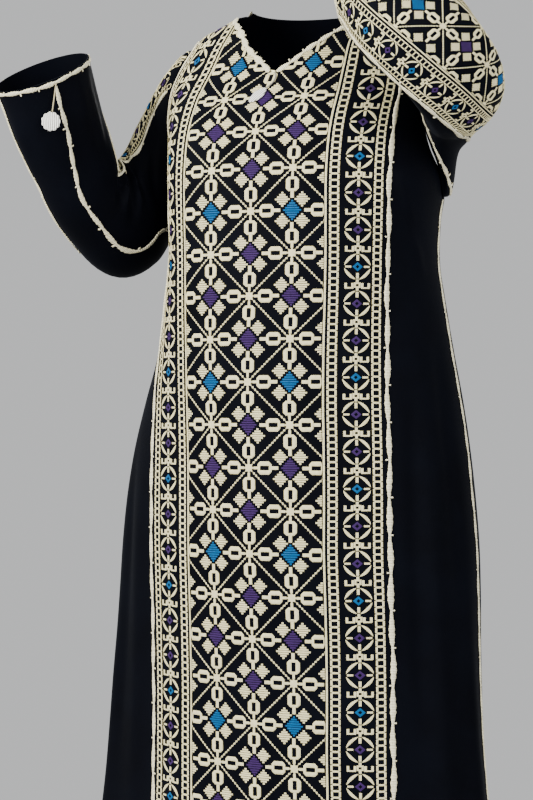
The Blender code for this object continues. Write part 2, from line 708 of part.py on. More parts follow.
def cuff_charm(sleeve):
    """A disc on a cord, hanging from the seam at the left cuff."""
    level = sleeve.total - BRAID_WIDE / 2
    out = BRAID_LIFT + BRAID_THICK + CORD_CLEARANCE + CORD_RADIUS
    start = sleeve.at(float(sleeve.girth(level)) / 2, level, out)
    lean = math.radians(CUFF_CORD_LEAN)
    hang = np.array([-math.sin(lean), 0.0, -math.cos(lean)])
    drops = np.linspace(0.0, CUFF_CORD_LENGTH, 16)
    cord("cuff_charm_cord", start + drops[:, None] * hang)
    shape = bmesh.new()
    bmesh.ops.create_cone(
        shape, cap_ends=True, segments=24, radius1=CUFF_CHARM_RADIUS,
        radius2=CUFF_CHARM_RADIUS, depth=CUFF_CHARM_THICK,
    )
    below = CUFF_CORD_LENGTH + SEAM + CUFF_CHARM_RADIUS
    turn = Matrix.Rotation(math.radians(CUFF_CHARM_TURN), 4, "Z")
    stand = Matrix.Rotation(math.pi / 2, 4, "X")
    placed = Matrix.Translation(start + below * hang) @ turn @ stand
    charm_object("cuff_charm", shape, placed)


def charm_object(name, shape, placed):
    """A charm from its shape, where it hangs."""
    mesh = bpy.data.meshes.new(name)
    shape.to_mesh(mesh)
    shape.free()
    mesh.shade_smooth()
    mesh.set_sharp_from_angle(angle=math.radians(40))
    made = bpy.data.objects.new(name, mesh)
    bpy.context.scene.collection.objects.link(made)
    made.matrix_world = placed
    paint(made, CREAM, 0.4)


def clear_scene():
    """Start from an empty scene."""
    for item in list(bpy.data.objects):
        bpy.data.objects.remove(item)


def main():
    """Build every piece."""
    clear_scene()
    body = Body()
    rows = body_rows()
    front_panel(body, rows)
    for side in (-1, 1):
        front_side(body, rows, side)
    back_piece(body, rows)
    body_trims(body, rows)
    for arm in ARM_ROWS:
        sleeve = make_sleeve(body, arm)
        sleeve_trims(sleeve, sleeve_pieces(sleeve))
        if sleeve.name == "left":
            cuff_charm(sleeve)
    neck_charm(body)


main()
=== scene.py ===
"""The looks of a long abaya as it is worn: black crepe, thread embroidery, braid and charms.

Each piece of cloth is laid on the same surface as its solid, with finer points and with
the soft creases of worn cloth. The embroidery is thread relief, laid out from a few
motifs in a plan of the panel: u runs across it and y runs up it, both in metres of cloth.
"""
import math

import bmesh
import bpy
import numpy as np
from mathutils import Matrix


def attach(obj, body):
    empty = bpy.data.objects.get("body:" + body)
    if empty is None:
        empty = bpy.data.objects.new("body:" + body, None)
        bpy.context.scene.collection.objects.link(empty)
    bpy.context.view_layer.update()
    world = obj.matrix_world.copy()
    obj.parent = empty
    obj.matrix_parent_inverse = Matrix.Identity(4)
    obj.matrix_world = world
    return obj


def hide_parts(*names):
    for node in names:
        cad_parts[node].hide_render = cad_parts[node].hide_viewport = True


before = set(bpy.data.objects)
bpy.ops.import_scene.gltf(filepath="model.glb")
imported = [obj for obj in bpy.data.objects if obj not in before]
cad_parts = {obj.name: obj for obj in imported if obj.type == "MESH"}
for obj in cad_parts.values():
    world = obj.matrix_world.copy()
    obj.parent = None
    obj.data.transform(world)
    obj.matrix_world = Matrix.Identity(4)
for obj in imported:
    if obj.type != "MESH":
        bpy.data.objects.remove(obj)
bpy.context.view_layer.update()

# The photograph's frame and the camera's place
PHOTO_WIDTH = 533
VIEW_ANGLE = math.radians(24.0)
VIEW_DISTANCE = 2.5
VIEW_FOCAL_PIXELS = 1724.0
VIEW_SIDE = 0.0457
VIEW_HEIGHT = -0.565
SENSOR_WIDTH = 36.0

# The studio. A lamp's columns are its name, its place, what it looks at, its size, its power
# and its colour
WORLD_COLOUR = (0.98, 0.99, 1.0, 1.0)
WORLD_STRENGTH = 0.63
LAMP_ROWS = (
    ("key", (-1.3, -2.7, 0.7), (0.0, 0.0, -0.6), 1.6, 235.0, (1.0, 0.98, 0.92)),
    ("fill", (2.3, -2.0, 0.2), (0.0, 0.0, -0.7), 1.8, 92.0, (0.99, 0.99, 1.0)),
    ("back", (-1.2, 2.6, 0.8), (0.0, 0.0, -0.7), 1.8, 70.0, (1.0, 1.0, 1.0)),
)
FLOOR_LEVEL = -1.5
FLOOR_RADIUS = 0.75
FLOOR_SIDES = 64
FLOOR_COLOUR = (0.58, 0.58, 0.585, 1.0)
FLOOR_ROUGHNESS = 0.9

# Cloth and seams
CLOTH = 0.0018
SEAM = 0.0003
HEM_MARGIN = 0.001

# Braid: the solid's width, its lift off the cloth and its thickness, the widths of a leaf and
# of the joint between two, the length from leaf to leaf, and the least and most a leaf swells
BRAID_WIDE = 0.0085
BRAID_LIFT = 0.0009
BRAID_THICK = 0.0014
BRAID_LEAF = 0.0084
SLEEVE_BRAID_LEAF = 0.0064
BRAID_JOINT = 0.0032
LEAF_LENGTHS = {"panel": 0.0505, "side": 0.040, "neck": 0.022, "sleeve": 0.030, "cuff": 0.026}
LEAF_SWELL = (0.78, 1.12)

# The uneven hand of the braid: two powers for where a leaf is widest and how pointed its ends
# are, the depth and step of its small bumps, how far and how fast its line wanders, and its
# thickness at a joint with what a leaf adds to it. Its section is given in half widths and in
# thicknesses
LEAF_SHAPE = (0.8, 1.3)
LEAF_BUMPS = (0.16, 2.4)
BRAID_WANDER = ((0.0007, 44.0), (0.0004, 95.0))
BRAID_DEPTHS = (0.8, 0.3)
BRAID_SECTION = (
    (-1.0, -0.1), (-0.72, 0.62), (-0.25, 0.86), (0.0, 0.70),
    (0.25, 0.86), (0.72, 0.62), (1.0, -0.1), (0.0, -0.2),
)
PICOT_HALF = 0.0010
PICOT_LENGTH = 0.0042
PICOT_RISE = 0.0012
PICOT_LIFT = 0.00063
PICOT_MARGIN = 0.0005

# Where the braids lie and end
TRIM_END_GAP = 0.004
PANEL_BRAID_TOP = -0.044
NECK_BRAID_TOP = -0.014
NECK_BRAID_PLACE = 0.0042
NECK_BRAID_START = 0.001
SLEEVE_BRAID_START = 0.012
PATH_POINTS = {"body": 500, "neck": 120, "neck_back": 200, "sleeve": 240}

# Heights of the garment
HEM = -1.400
ARMHOLE_MIDDLE = -0.165
ARMHOLE_HALF = 0.113
NECK_POINT = -0.005
NECK_BACK = 0.0
VEE_BOTTOM = ARMHOLE_MIDDLE + ARMHOLE_HALF * math.cos(math.pi / 3)
SIDE_PIECE_TOP = -0.034

# Widths along the cloth, from the front centre line or the sleeve's middle line
PANEL_HALF = 0.192
PANEL_TAKEN_IN = 0.016
TAKEN_IN_START = -0.15
TAKEN_IN_RUN = 0.10
ARMHOLE_FRONT = 0.045
ARMHOLE_BACK = 0.062
SLEEVE_FRONT_EDGE = 0.082
SLEEVE_BACK_EDGE = -0.108
POINT_WIDTH = 0.003

# Widths that set how many columns of points a piece has, and what the front panel's cut has
# to spare across and along
SIDE_WIDTH = 0.20
BACK_WIDTH = 0.62
SLEEVE_WIDTHS = {"outer": 0.24, "front": 0.13, "back": 0.11}
PANEL_SPARE = (0.002, 0.07)

# Level sections of the body, from the neck down to the hem. The columns are the height,
# the reach to the left, right, front and back, how square the left and right of the front
# are, where the section's middle lies, and its turn in degrees
BODY_ROWS = (
    (0.000, 0.088, 0.088, 0.052, 0.070, 2.00, 2.00, 0.022, 6.0),
    (-0.020, 0.127, 0.127, 0.072, 0.086, 2.00, 2.00, 0.021, 7.0),
    (-0.040, 0.160, 0.160, 0.088, 0.098, 2.05, 2.05, 0.017, 8.0),
    (-0.060, 0.168, 0.174, 0.093, 0.103, 2.14, 2.20, 0.008, 6.8),
    (-0.100, 0.180, 0.189, 0.100, 0.110, 2.50, 2.44, -0.002, 5.2),
    (-0.143, 0.173, 0.201, 0.125, 0.115, 3.10, 2.50, -0.010, 5.8),
    (-0.195, 0.158, 0.216, 0.155, 0.120, 3.55, 2.50, -0.016, 6.8),
    (-0.252, 0.155, 0.229, 0.176, 0.124, 3.55, 2.50, -0.014, 6.4),
    (-0.312, 0.154, 0.221, 0.180, 0.127, 3.36, 2.40, -0.013, 6.1),
    (-0.370, 0.160, 0.217, 0.184, 0.131, 3.02, 2.16, -0.010, 5.4),
    (-0.429, 0.173, 0.223, 0.188, 0.137, 2.64, 1.95, -0.007, 4.5),
    (-0.497, 0.194, 0.233, 0.190, 0.144, 2.20, 1.90, -0.005, 3.6),
    (-0.565, 0.224, 0.245, 0.190, 0.151, 1.86, 1.90, -0.004, 3.2),
    (-0.633, 0.251, 0.252, 0.190, 0.157, 1.72, 1.90, 0.000, 2.4),
    (-0.701, 0.271, 0.256, 0.190, 0.161, 1.70, 1.90, 0.005, 1.2),
    (-0.769, 0.285, 0.259, 0.189, 0.164, 1.70, 1.90, 0.009, 0.0),
    (-0.836, 0.294, 0.259, 0.187, 0.165, 1.70, 1.90, 0.012, -0.5),
    (-0.904, 0.301, 0.259, 0.182, 0.166, 1.70, 1.93, 0.013, -0.8),
    (-0.972, 0.307, 0.261, 0.177, 0.168, 1.70, 2.03, 0.013, -1.0),
    (-1.040, 0.311, 0.265, 0.173, 0.171, 1.71, 2.09, 0.012, -1.1),
    (-1.105, 0.315, 0.270, 0.170, 0.174, 1.75, 2.10, 0.012, -1.1),
    (-1.250, 0.327, 0.280, 0.169, 0.180, 1.88, 2.04, 0.010, -0.6),
    (-1.400, 0.340, 0.292, 0.172, 0.188, 2.00, 2.00, 0.010, 0.0),
)
BACK_POWER = 2.2

# Soft upright folds of the skirt: place round the girth, depth at the hem, spread, top
FOLD_ROWS = (
    (-0.070, 0.006, 0.034, -0.45),
    (-0.140, -0.009, 0.030, -0.50),
    (-0.205, 0.011, 0.030, -0.42),
    (-0.275, -0.010, 0.030, -0.55),
    (-0.345, 0.013, 0.032, -0.48),
    (-0.425, -0.011, 0.034, -0.60),
    (0.150, -0.007, 0.030, -0.50),
    (0.215, 0.010, 0.028, -0.40),
    (0.280, -0.010, 0.030, -0.55),
    (0.350, 0.013, 0.032, -0.45),
    (0.428, -0.010, 0.032, -0.62),
    (0.495, 0.013, 0.030, -0.50),
)

# Arms: name, side, how far the middle line starts from the armhole, its corner, its cuff, its
# bend's radius, and how far down the sleeve its flared root ends
ARM_ROWS = (
    ("left", -1, 0.030, (-0.268, -0.060, -0.418), (-0.288, -0.238, -0.110), 0.079, 0.135),
    ("right", 1, 0.038, (0.367, -0.295, -0.166), (0.182, -0.161, -0.037), 0.080, 0.103),
)

# Sections of a sleeve: how far along it, half its size across the arm's bend, inside
# the bend and outside it, and its twist in degrees
SLEEVE_ROWS = {
    "left": (
        (0.00, 0.057, 0.062, 0.062, 0.0),
        (0.20, 0.057, 0.070, 0.060, -16.0),
        (0.38, 0.047, 0.072, 0.098, 25.0),
        (0.50, 0.046, 0.067, 0.062, 31.0),
        (0.66, 0.048, 0.070, 0.057, 30.0),
        (0.82, 0.056, 0.070, 0.066, 21.0),
        (1.00, 0.057, 0.076, 0.070, 16.0),
    ),
    "right": (
        (0.00, 0.056, 0.056, 0.062, 45.0),
        (0.22, 0.055, 0.062, 0.040, 18.0),
        (0.36, 0.059, 0.058, 0.042, -13.0),
        (0.50, 0.063, 0.055, 0.029, -35.0),
        (0.64, 0.065, 0.054, 0.028, -54.0),
        (0.80, 0.071, 0.044, 0.048, -68.0),
        (1.00, 0.056, 0.069, 0.080, -58.0),
    ),
}
ROOT_LIFT = 0.0016
ROOT_FULLNESS = 0.5
CREASE_FADE = 1.6

# Creases of the worn cloth, read along the cloth in metres: where each one's middle is,
# its half length and half width, its lean from upright in degrees, and its rise
BODY_CREASES = (
    (-0.235, -0.95, 0.330, 0.018, 2.0, 0.0050),
    (-0.275, -0.88, 0.300, 0.016, 3.0, -0.0050),
    (-0.305, -1.08, 0.260, 0.018, 4.0, 0.0045),
    (0.232, -0.78, 0.300, 0.015, -1.0, -0.0036),
    (0.262, -0.98, 0.330, 0.017, -2.0, 0.0048),
    (0.292, -0.70, 0.260, 0.014, -3.0, -0.0040),
    (0.318, -1.05, 0.280, 0.016, -3.0, 0.0042),
    (0.235, -0.33, 0.080, 0.010, -24.0, 0.0030),
    (0.215, -0.30, 0.090, 0.009, -34.0, -0.0026),
    (-0.205, -0.33, 0.080, 0.010, 22.0, 0.0026),
    (0.420, -0.34, 0.110, 0.012, -30.0, 0.0034),
    (-0.420, -0.34, 0.110, 0.012, 28.0, 0.0034),
    (0.470, -0.55, 0.180, 0.016, 12.0, -0.0034),
    (-0.480, -0.58, 0.180, 0.016, -10.0, -0.0034),
    (0.540, -0.46, 0.160, 0.018, 35.0, 0.0030),
    (-0.540, -0.46, 0.160, 0.018, -35.0, 0.0030),
    (0.560, -0.95, 0.300, 0.020, 4.0, 0.0046),
    (-0.560, -0.98, 0.300, 0.020, -4.0, 0.0046),
)
SLEEVE_CREASES = {
    "left": (
        (0.085, 0.118, 0.062, 0.009, 62.0, -0.0066),
        (0.095, 0.143, 0.076, 0.008, 74.0, 0.0050),
        (0.100, 0.168, 0.078, 0.009, 88.0, -0.0074),
        (0.098, 0.192, 0.060, 0.008, 101.0, 0.0052),
        (0.085, 0.216, 0.070, 0.010, 117.0, -0.0062),
        (0.140, 0.290, 0.060, 0.010, 24.0, 0.0030),
        (0.115, 0.350, 0.070, 0.010, 12.0, -0.0030),
        (0.165, 0.385, 0.060, 0.011, 8.0, 0.0026),
        (-0.120, 0.330, 0.070, 0.012, -14.0, 0.0030),
        (0.060, 0.060, 0.060, 0.012, 25.0, 0.0034),
        (0.120, 0.070, 0.060, 0.012, 40.0, -0.0032),
    ),
    "right": (
        (0.110, 0.130, 0.060, 0.009, 68.0, -0.0044),
        (0.120, 0.158, 0.070, 0.009, 80.0, 0.0036),
        (0.125, 0.186, 0.070, 0.009, 94.0, -0.0048),
        (0.120, 0.214, 0.064, 0.009, 108.0, 0.0036),
        (0.150, 0.300, 0.060, 0.011, 14.0, 0.0030),
        (-0.150, 0.320, 0.060, 0.011, -12.0, -0.0028),
        (-0.120, 0.060, 0.060, 0.012, 20.0, 0.0034),
    ),
}

# The embroidery's plan on the front panel, in metres of cloth: the step from flower to star
# and the height of a flower on the centre line, then the steps along the borders, which are
# counted by height, and the height of one blue medallion on each side
NODE_PITCH = 0.0579
FLOWER_TOP = -0.1471
LADDER_PITCH = 0.0088
MEDALLION_PITCH = 0.0497
MEDALLION_BLUE = {-1: -0.5258, 1: -0.5347}

# The plan on a sleeve's panel, counted from the cuff
SLEEVE_MIDDLE = -0.013
SLEEVE_NODE_PITCH = 0.0415
SLEEVE_FIRST_BLUE = 0.1205
SLEEVE_MEDALLION_START = 0.0024
SLEEVE_MEDALLION_PITCH = 0.0403

# Across each panel: where the field ends, the places of a border's line, inner ladder,
# medallions and outer ladder, and where the border starts and ends. Then the sizes of the
# ladders, of their strokes and of the medallions beside the drawn ones, and their lenses' pull
FRONT_SIZES = {
    "field_edge": 0.1008,
    "places": (0.1030, 0.1147, 0.1475, 0.1758),
    "border": (0.1000, 0.1890),
    "ladder": 1.0,
    "stroke": 1.0,
    "medallion": 1.0,
    "lens_pull": 0.0,
}
SLEEVE_SIZES = {
    "field_edge": 0.0412,
    "places": (0.0430, 0.0508, 0.0690, 0.0868),
    "border": (0.0410, 0.0920),
    "ladder": 0.66,
    "stroke": 0.74,
    "medallion": 0.72,
    "lens_pull": -0.16,
}

# The fields' columns and rows of flowers and stars, with the row that FLOWER_TOP gives, and
# the medallions above and below the given blue one
FRONT_COLUMNS = range(-3, 3)
FRONT_ROWS = range(27)
FLOWER_TOP_ROW = 2
FRONT_MEDALLIONS = range(-18, 12)
SLEEVE_COLUMNS = range(-2, 2)
SLEEVE_FIRST_ROW = -3

# How far the thread stands up and is sunk into the cloth, and how near it comes to an edge
THREAD_RISE = 0.0010
THREAD_SUNK = 0.0003
STITCH_MARGIN = 0.004
HEM_STITCH_MARGIN = 0.003
VEE_STITCH_MARGIN = 0.0028

# How a padded stitch and a band of stitches round over: the share of the way in, and the
# rise there. Then the tip of a padded stitch, and how much of its row a satin stitch fills
PAD_RINGS = ((0.0, 0.0), (0.06, 0.72), (0.45, 1.0))
BAND_RINGS = ((0.0, 0.0), (0.10, 0.72), (0.5, 1.0), (0.90, 0.72), (1.0, 0.0))
PAD_TIP = 1.02
SATIN_HALF = 0.40

# Straight stitches, drawn from a motif's middle: left, bottom, right, top, and rise
BAR_ROWS = {
    "flower_stem": (-0.0022, 0.0163, 0.0025, 0.0260, 0.85),
    "flower_tie": (-0.0018, 0.0448, 0.0018, 0.0512, 0.80),
    "line": (-0.0013, -0.0044, 0.0013, 0.004488, 0.90),
    "rail": (-0.0014, -0.0038, 0.0014, 0.0038, 1.0),
    "rung": (-0.0048, -0.0013, 0.0048, 0.0013, 1.0),
    "upright_spoke": (-0.0018, 0.0082, 0.0018, 0.0160, 0.85),
    "level_spoke": (-0.0013, 0.0090, 0.0013, 0.0175, 0.80),
    "stem": (-0.0018, 0.0172, 0.0018, 0.0218, 0.85),
    "stub": (-0.0018, 0.0282, 0.0018, 0.0326, 0.85),
    "post": (-0.0016, 0.0208, 0.0019, 0.0278, 0.85),
    "foot": (-0.0063, 0.0200, 0.0063, 0.0222, 0.85),
}

# Bands of stitches between an outer and an inner outline, and their rise
LINK_OUTER = (
    (0.0092, 0.0294), (0.0092, 0.0414), (0.0052, 0.0454), (-0.0052, 0.0454),
    (-0.0092, 0.0414), (-0.0092, 0.0294), (-0.0052, 0.0254), (0.0052, 0.0254),
)
LINK_INNER = (
    (0.0027, 0.0293), (0.0027, 0.0415), (0.00243, 0.0415), (-0.00243, 0.0415),
    (-0.0027, 0.0415), (-0.0027, 0.0293), (-0.00243, 0.0293), (0.00243, 0.0293),
)
BOX_OUTER = (-0.0048, 0.0212, 0.0048, 0.0286)
BOX_INNER = (-0.0017, 0.0234, 0.0017, 0.0262)
EYE_OUTER = (0.0078, 0.0064)
EYE_INNER = (0.0025, 0.0023)
BAND_RISE = 0.9

# The other shapes: steps and half sizes of the stitched diamonds, rays and reaches of the
# star, how far a rope line stops short, its beads and widths, a lens's half sizes, the degrees
# and points of its arc, the shares and points of its chord, and how the chord bends
PETAL = (3, 0.0104, 0.0104, 1.0)
HEART = (4, 0.0126, 0.0140, 0.9)
STAR = (8, 0.0080, 0.0050)
ROPE_SHORT = 0.016
ROPE = (14, 0.0042, 0.0008)
LENS = (0.0190, 0.0176)
LENS_ARC = (5.0, 85.0, 7)
LENS_CHORD = (0.10, 0.90, 3)
LENS_BEND = (0.25, 0.50, 0.25)

# Motifs of cream thread: each shape, its shifts from the motif's middle, its turns in degrees
MIDDLE = ((0.0, 0.0),)
UPRIGHT = (0.0,)
QUARTERS = (0.0, 90.0, 180.0, 270.0)
PETAL_PLACES = ((-0.0136, -0.0147), (-0.0136, 0.0147), (0.0136, -0.0147), (0.0136, 0.0147))
FLOWER_ROWS = (
    ("petal", PETAL_PLACES, UPRIGHT),
    ("flower_stem", MIDDLE, QUARTERS),
    ("link", MIDDLE, QUARTERS),
    ("flower_tie", MIDDLE, QUARTERS),
)
LADDER_ROWS = (
    ("rail", ((-0.0054, 0.0044), (0.0054, 0.0044)), UPRIGHT),
    ("rung", MIDDLE, UPRIGHT),
)
MEDALLION_ROWS = (
    ("lenses", MIDDLE, UPRIGHT),
    ("stem", MIDDLE, UPRIGHT),
    ("stub", MIDDLE, UPRIGHT),
    ("box", MIDDLE, UPRIGHT),
    ("upright_spoke", MIDDLE, (0.0, 180.0)),
    ("level_spoke", MIDDLE, (90.0, 270.0)),
    ("post", ((-0.0164, 0.0), (-0.0070, 0.0), (0.0070, 0.0), (0.0164, 0.0)), UPRIGHT),
    ("foot", ((-0.0117, 0.0), (0.0117, 0.0)), UPRIGHT),
)

# How finely the surfaces and the cloth are made
DENSE_TURN = 720
ARC_STEP = 0.003
LEVEL_STEP = 0.003
BODY_HALF_GIRTH = 1.1
SLEEVE_HALF_GIRTH = 0.32
SLEEVE_STATIONS = 190
CLOTH_CELL = 0.0065
SLEEVE_ROW_SHARE = 1.2
NO_LENGTH = 1e-12
NEAR_NOTHING = 1e-9
FRONT_PLAN_LEVELS = 700
SLEEVE_PLAN_LEVELS = 300
BRAID_STEPS = 14

# Corners that turn by more than this, in degrees, are shaded as sharp edges
CLOTH_ANGLE = 40.0
STITCH_ANGLE = 50.0
WORKED_ANGLE = 60.0

# Charms on cords. The columns of the neck cord are how far round it lies, its level, and
# how far its middle stands off the cloth
CORD_RADIUS = 0.0009
CORD_CLEARANCE = 0.0007
NECK_CORD = (
    (0.0042, -0.1098, 0.0016),
    (0.0076, -0.1170, 0.0016),
    (0.0062, -0.1262, 0.0020),
    (0.0001, -0.1344, 0.0027),
)
NECK_CHARM_HALF = (0.0074, 0.0021, 0.0158)
NECK_CHARM_PLACE = (-0.0090, -0.1445)
NECK_CHARM_LEAN = -42.0
CUFF_CORD_LENGTH = 0.040
CUFF_CORD_LEAN = 9.0
CUFF_CHARM_HALF = (0.0128, 0.0015, 0.0130)
CUFF_CHARM_TURN = 24.0
CORD_POINTS = 24

# The worked charms: how far out the corded rim lies, its width and its rise, the height and
# the closeness of a disc's rounds, the number and depth of its petals, a leaf's narrowing
CHARM_RIM = (0.90, 0.08, 0.45)
DISC_ROUNDS = (0.35, 20.0)
DISC_PETALS = 11
PETAL_DEPTH = 0.05
LEAF_NARROWING = 0.3
CHARM_SIDES = {"u_segments": 64, "v_segments": 28}

# Threads: the darker colour between the strands, which is painted shade in their grooves, the thread's own
# colour on them, how close the strands lie, and unevenness of tone
THREAD_ROWS = {
    "cream": ((0.36, 0.30, 0.15), (1.0, 0.93, 0.56), 210.0, 0.40),
    "purple": ((0.010, 0.003, 0.030), (0.048, 0.014, 0.110), 210.0, 0.45),
    "blue": ((0.000, 0.034, 0.110), (0.001, 0.115, 0.310), 210.0, 0.45),
    "cream_braid": ((0.38, 0.33, 0.20), (0.98, 0.93, 0.68), 150.0, 0.50),
    "white_charm": ((0.22, 0.21, 0.19), (0.95, 0.94, 0.90), 120.0, 0.25),
}
THREAD_FINISH = {"Roughness": 0.6, "Specular IOR Level": 0.14, "Sheen Weight": 0.04}
THREAD_WAVE = {"Distortion": 2.0, "Detail": 1.0, "Detail Scale": 0.6}
THREAD_FUZZ = {"Scale": 240.0, "Detail": 3.0}
THREAD_RELIEF = {"Strength": 0.55, "Distance": 0.0005}
CREPE_RELIEF = {"Strength": 0.35, "Distance": 0.0004}
CREPE_MOTTLE = {"Scale": 9.0, "Detail": 4.0, "Roughness": 0.6}
CREPE_GRAIN = {"Scale": 950.0, "Detail": 2.0, "Distortion": 0.8}
CREPE_COLOURS = ((0.0004, 0.0006, 0.0018), (0.0010, 0.0015, 0.0038))
CREPE_ROUGHNESS = (0.62, 0.80)
CREPE_FINISH = {
    "Specular IOR Level": 0.04,
    "Sheen Weight": 0.012,
    "Sheen Roughness": 0.45,
    "Sheen Tint": (0.55, 0.62, 0.85, 1.0),
}

# The part of a pattern's values that is spread between two limits
PATTERN_RANGE = {"From Min": 0.3, "From Max": 0.7}


def curve_between(t, start, start_slope, end, end_slope):
    """A smooth curve from a start to an end with given slopes, read at shares t."""
    curve = (1 + 2 * t) * (1 - t) ** 2 * start + t * (1 - t) ** 2 * start_slope
    return curve + t ** 2 * (3 - 2 * t) * end + t ** 2 * (t - 1) * end_slope


def smooth_table(rows, key):
    """Rows of a table at given values of its first column, on a smooth curve through it."""
    table = np.array(rows, dtype=float)
    if table[0, 0] > table[-1, 0]:
        table = table[::-1]
    keys = table[:, 0]
    slopes = np.gradient(table, keys, axis=0)
    key = np.clip(np.atleast_1d(key), keys[0], keys[-1])
    low = np.clip(np.searchsorted(keys, key) - 1, 0, len(keys) - 2)
    high = low + 1
    span = (keys[high] - keys[low])[:, None]
    t = (key - keys[low])[:, None] / span
    return curve_between(t, table[low], span * slopes[low], table[high], span * slopes[high])


def smooth_step(value):
    """0 below 0, 1 above 1, and a soft rise between them."""
    value = np.clip(value, 0.0, 1.0)
    return value * value * (3.0 - 2.0 * value)


def unit(vectors):
    """Vectors of length one."""
    return vectors / np.maximum(np.linalg.norm(vectors, axis=-1, keepdims=True), NO_LENGTH)


class Surface:
    """A tube of cloth, kept as points at even steps round it and along it."""

    def __init__(self, rings, levels, steps, girths, outward=1.0):
        self.points = rings
        self.levels = levels
        self.steps = steps
        self.girths = girths
        self.outward = outward
        self.find_normals()

    def find_normals(self):
        """The way out of the cloth at each point."""
        around = np.gradient(self.points, self.steps, axis=1)
        along = np.gradient(self.points, self.levels, axis=0)
        self.normals = unit(np.cross(around, along)) * self.outward

    def crease(self, rows):
        """Press soft troughs and ridges into the cloth."""
        arc = self.steps[None, :]
        level = self.levels[:, None]
        rise = np.zeros(self.points.shape[:2])
        for middle_arc, middle_level, length, width, lean, depth in rows:
            lean = math.radians(lean)
            across = (arc - middle_arc) * math.cos(lean) - (level - middle_level) * math.sin(lean)
            along = (arc - middle_arc) * math.sin(lean) + (level - middle_level) * math.cos(lean)
            fade = smooth_step(CREASE_FADE * (1 - np.abs(along) / length))
            rise += depth * np.exp(-((across / width) ** 2)) * fade
        self.points = self.points + self.normals * rise[..., None]
        self.find_normals()

    def look_up(self, array, arc, level):
        """Read an array of the surface at distances round it and levels along it."""
        arc, level = np.broadcast_arrays(np.asarray(arc, float), np.asarray(level, float))
        column = (arc - self.steps[0]) / (self.steps[1] - self.steps[0])
        row = (level - self.levels[0]) / (self.levels[1] - self.levels[0])
        column = np.clip(column, 0, len(self.steps) - 1.001)
        row = np.clip(row, 0, len(self.levels) - 1.001)
        i, j = row.astype(int), column.astype(int)
        v, u = (row - i)[..., None], (column - j)[..., None]
        low = array[i, j] * (1 - u) + array[i, j + 1] * u
        high = array[i + 1, j] * (1 - u) + array[i + 1, j + 1] * u
        return low * (1 - v) + high * v

    def at(self, arc, level, out=0.0):
        """Points of the surface, moved out from it."""
        normal = unit(self.look_up(self.normals, arc, level))
        return self.look_up(self.points, arc, level) + normal * np.asarray(out)[..., None]

    def girth(self, level):
        """The whole way round at a level."""
        return np.interp(level, self.levels, self.girths)


def even_ring(ring, steps):
    """Points at given distances along a closed ring, both ways from its first point."""
    closed = np.vstack([ring, ring[:1]])
    lengths = np.linalg.norm(np.diff(closed, axis=0), axis=1)
    travelled = np.concatenate([[0.0], np.cumsum(lengths)])
    wrapped = np.mod(steps, travelled[-1])
    points = np.stack([np.interp(wrapped, travelled, closed[:, k]) for k in range(3)], axis=1)
    return points, travelled[-1]


def fold_depth(place, height):
    """How far the skirt's folds push the cloth out, by place round the girth and height."""
    total = np.zeros_like(place)
    for middle, depth, spread, top in FOLD_ROWS:
        apart = np.mod(place - middle + 0.5, 1.0) - 0.5
        growth = smooth_step((top - height) / (top - HEM))
        total += depth * growth * np.exp(-((apart / spread) ** 2))
    return total


def body_ring(height):
    """The cloth's outline at one height, from the front centre round by the right."""
    row = smooth_table(BODY_ROWS, height)[0]
    left, right, front, back, power_left, power_right, middle, turn = row[1:]
    angle = np.arange(DENSE_TURN) / DENSE_TURN * 2 * math.pi
    side, fore = np.sin(angle), np.cos(angle)
    width = np.where(side >= 0, right, left)
    depth = np.where(fore >= 0, -front, back)
    power = np.where(side >= 0, power_right, power_left)
    power = np.where(fore >= 0, power, BACK_POWER)
    x = width * np.sign(side) * np.abs(side) ** (2 / power)
    y = depth * np.abs(fore) ** (2 / power)
    turn = math.radians(turn)
    ring = np.stack([
        middle + x * math.cos(turn) - y * math.sin(turn),
        x * math.sin(turn) + y * math.cos(turn),
        np.full_like(x, height),
    ], axis=1)
    ahead = np.roll(ring, -1, axis=0) - np.roll(ring, 1, axis=0)
    outward = unit(np.stack([ahead[:, 1], -ahead[:, 0], np.zeros_like(x)], axis=1))
    lengths = np.linalg.norm(np.roll(ring, -1, axis=0) - ring, axis=1)
    travelled = np.concatenate([[0.0], np.cumsum(lengths)])
    side_right = travelled[DENSE_TURN // 4]
    side_left = travelled[-1] - travelled[3 * DENSE_TURN // 4]
    ring = ring + outward * fold_depth(travelled[:-1] / travelled[-1], height)[:, None]
    return ring, side_left, side_right


class Body(Surface):
    """The body of the garment, which also knows its side seams, armholes and neck."""

    def __init__(self):
        levels = np.arange(HEM, NECK_BACK + LEVEL_STEP / 2, LEVEL_STEP)
        steps = np.arange(-BODY_HALF_GIRTH, BODY_HALF_GIRTH + ARC_STEP / 2, ARC_STEP)
        rings, girths, lefts, rights = [], [], [], []
        for level in levels:
            ring, side_left, side_right = body_ring(level)
            points, girth = even_ring(ring, steps)
            rings.append(points)
            girths.append(girth)
            lefts.append(side_left)
            rights.append(side_right)
        super().__init__(np.array(rings), levels, steps, np.array(girths))
        self.sides = {-1: np.array(lefts), 1: np.array(rights)}

    def side_seam(self, side, level):
        """From the front centre to the side seam, or above it the shoulder seam."""
        return np.interp(level, self.levels, self.sides[side])

    def panel_edge(self, side, level):
        """Where the front panel ends: a straight cut that the shoulder takes in."""
        taken = smooth_step((level - TAKEN_IN_START) / TAKEN_IN_RUN)
        narrowed = PANEL_HALF - PANEL_TAKEN_IN * taken
        return np.minimum(narrowed, self.side_seam(side, level) - SEAM)

    def vee_reach(self, side, level):
        """Half the width of the neck's V at a height."""
        share = np.clip((level - VEE_BOTTOM) / (NECK_POINT - VEE_BOTTOM), 0.0, 1.0)
        widest = self.side_seam(side, NECK_POINT) - SEAM - POINT_WIDTH
        return widest * share


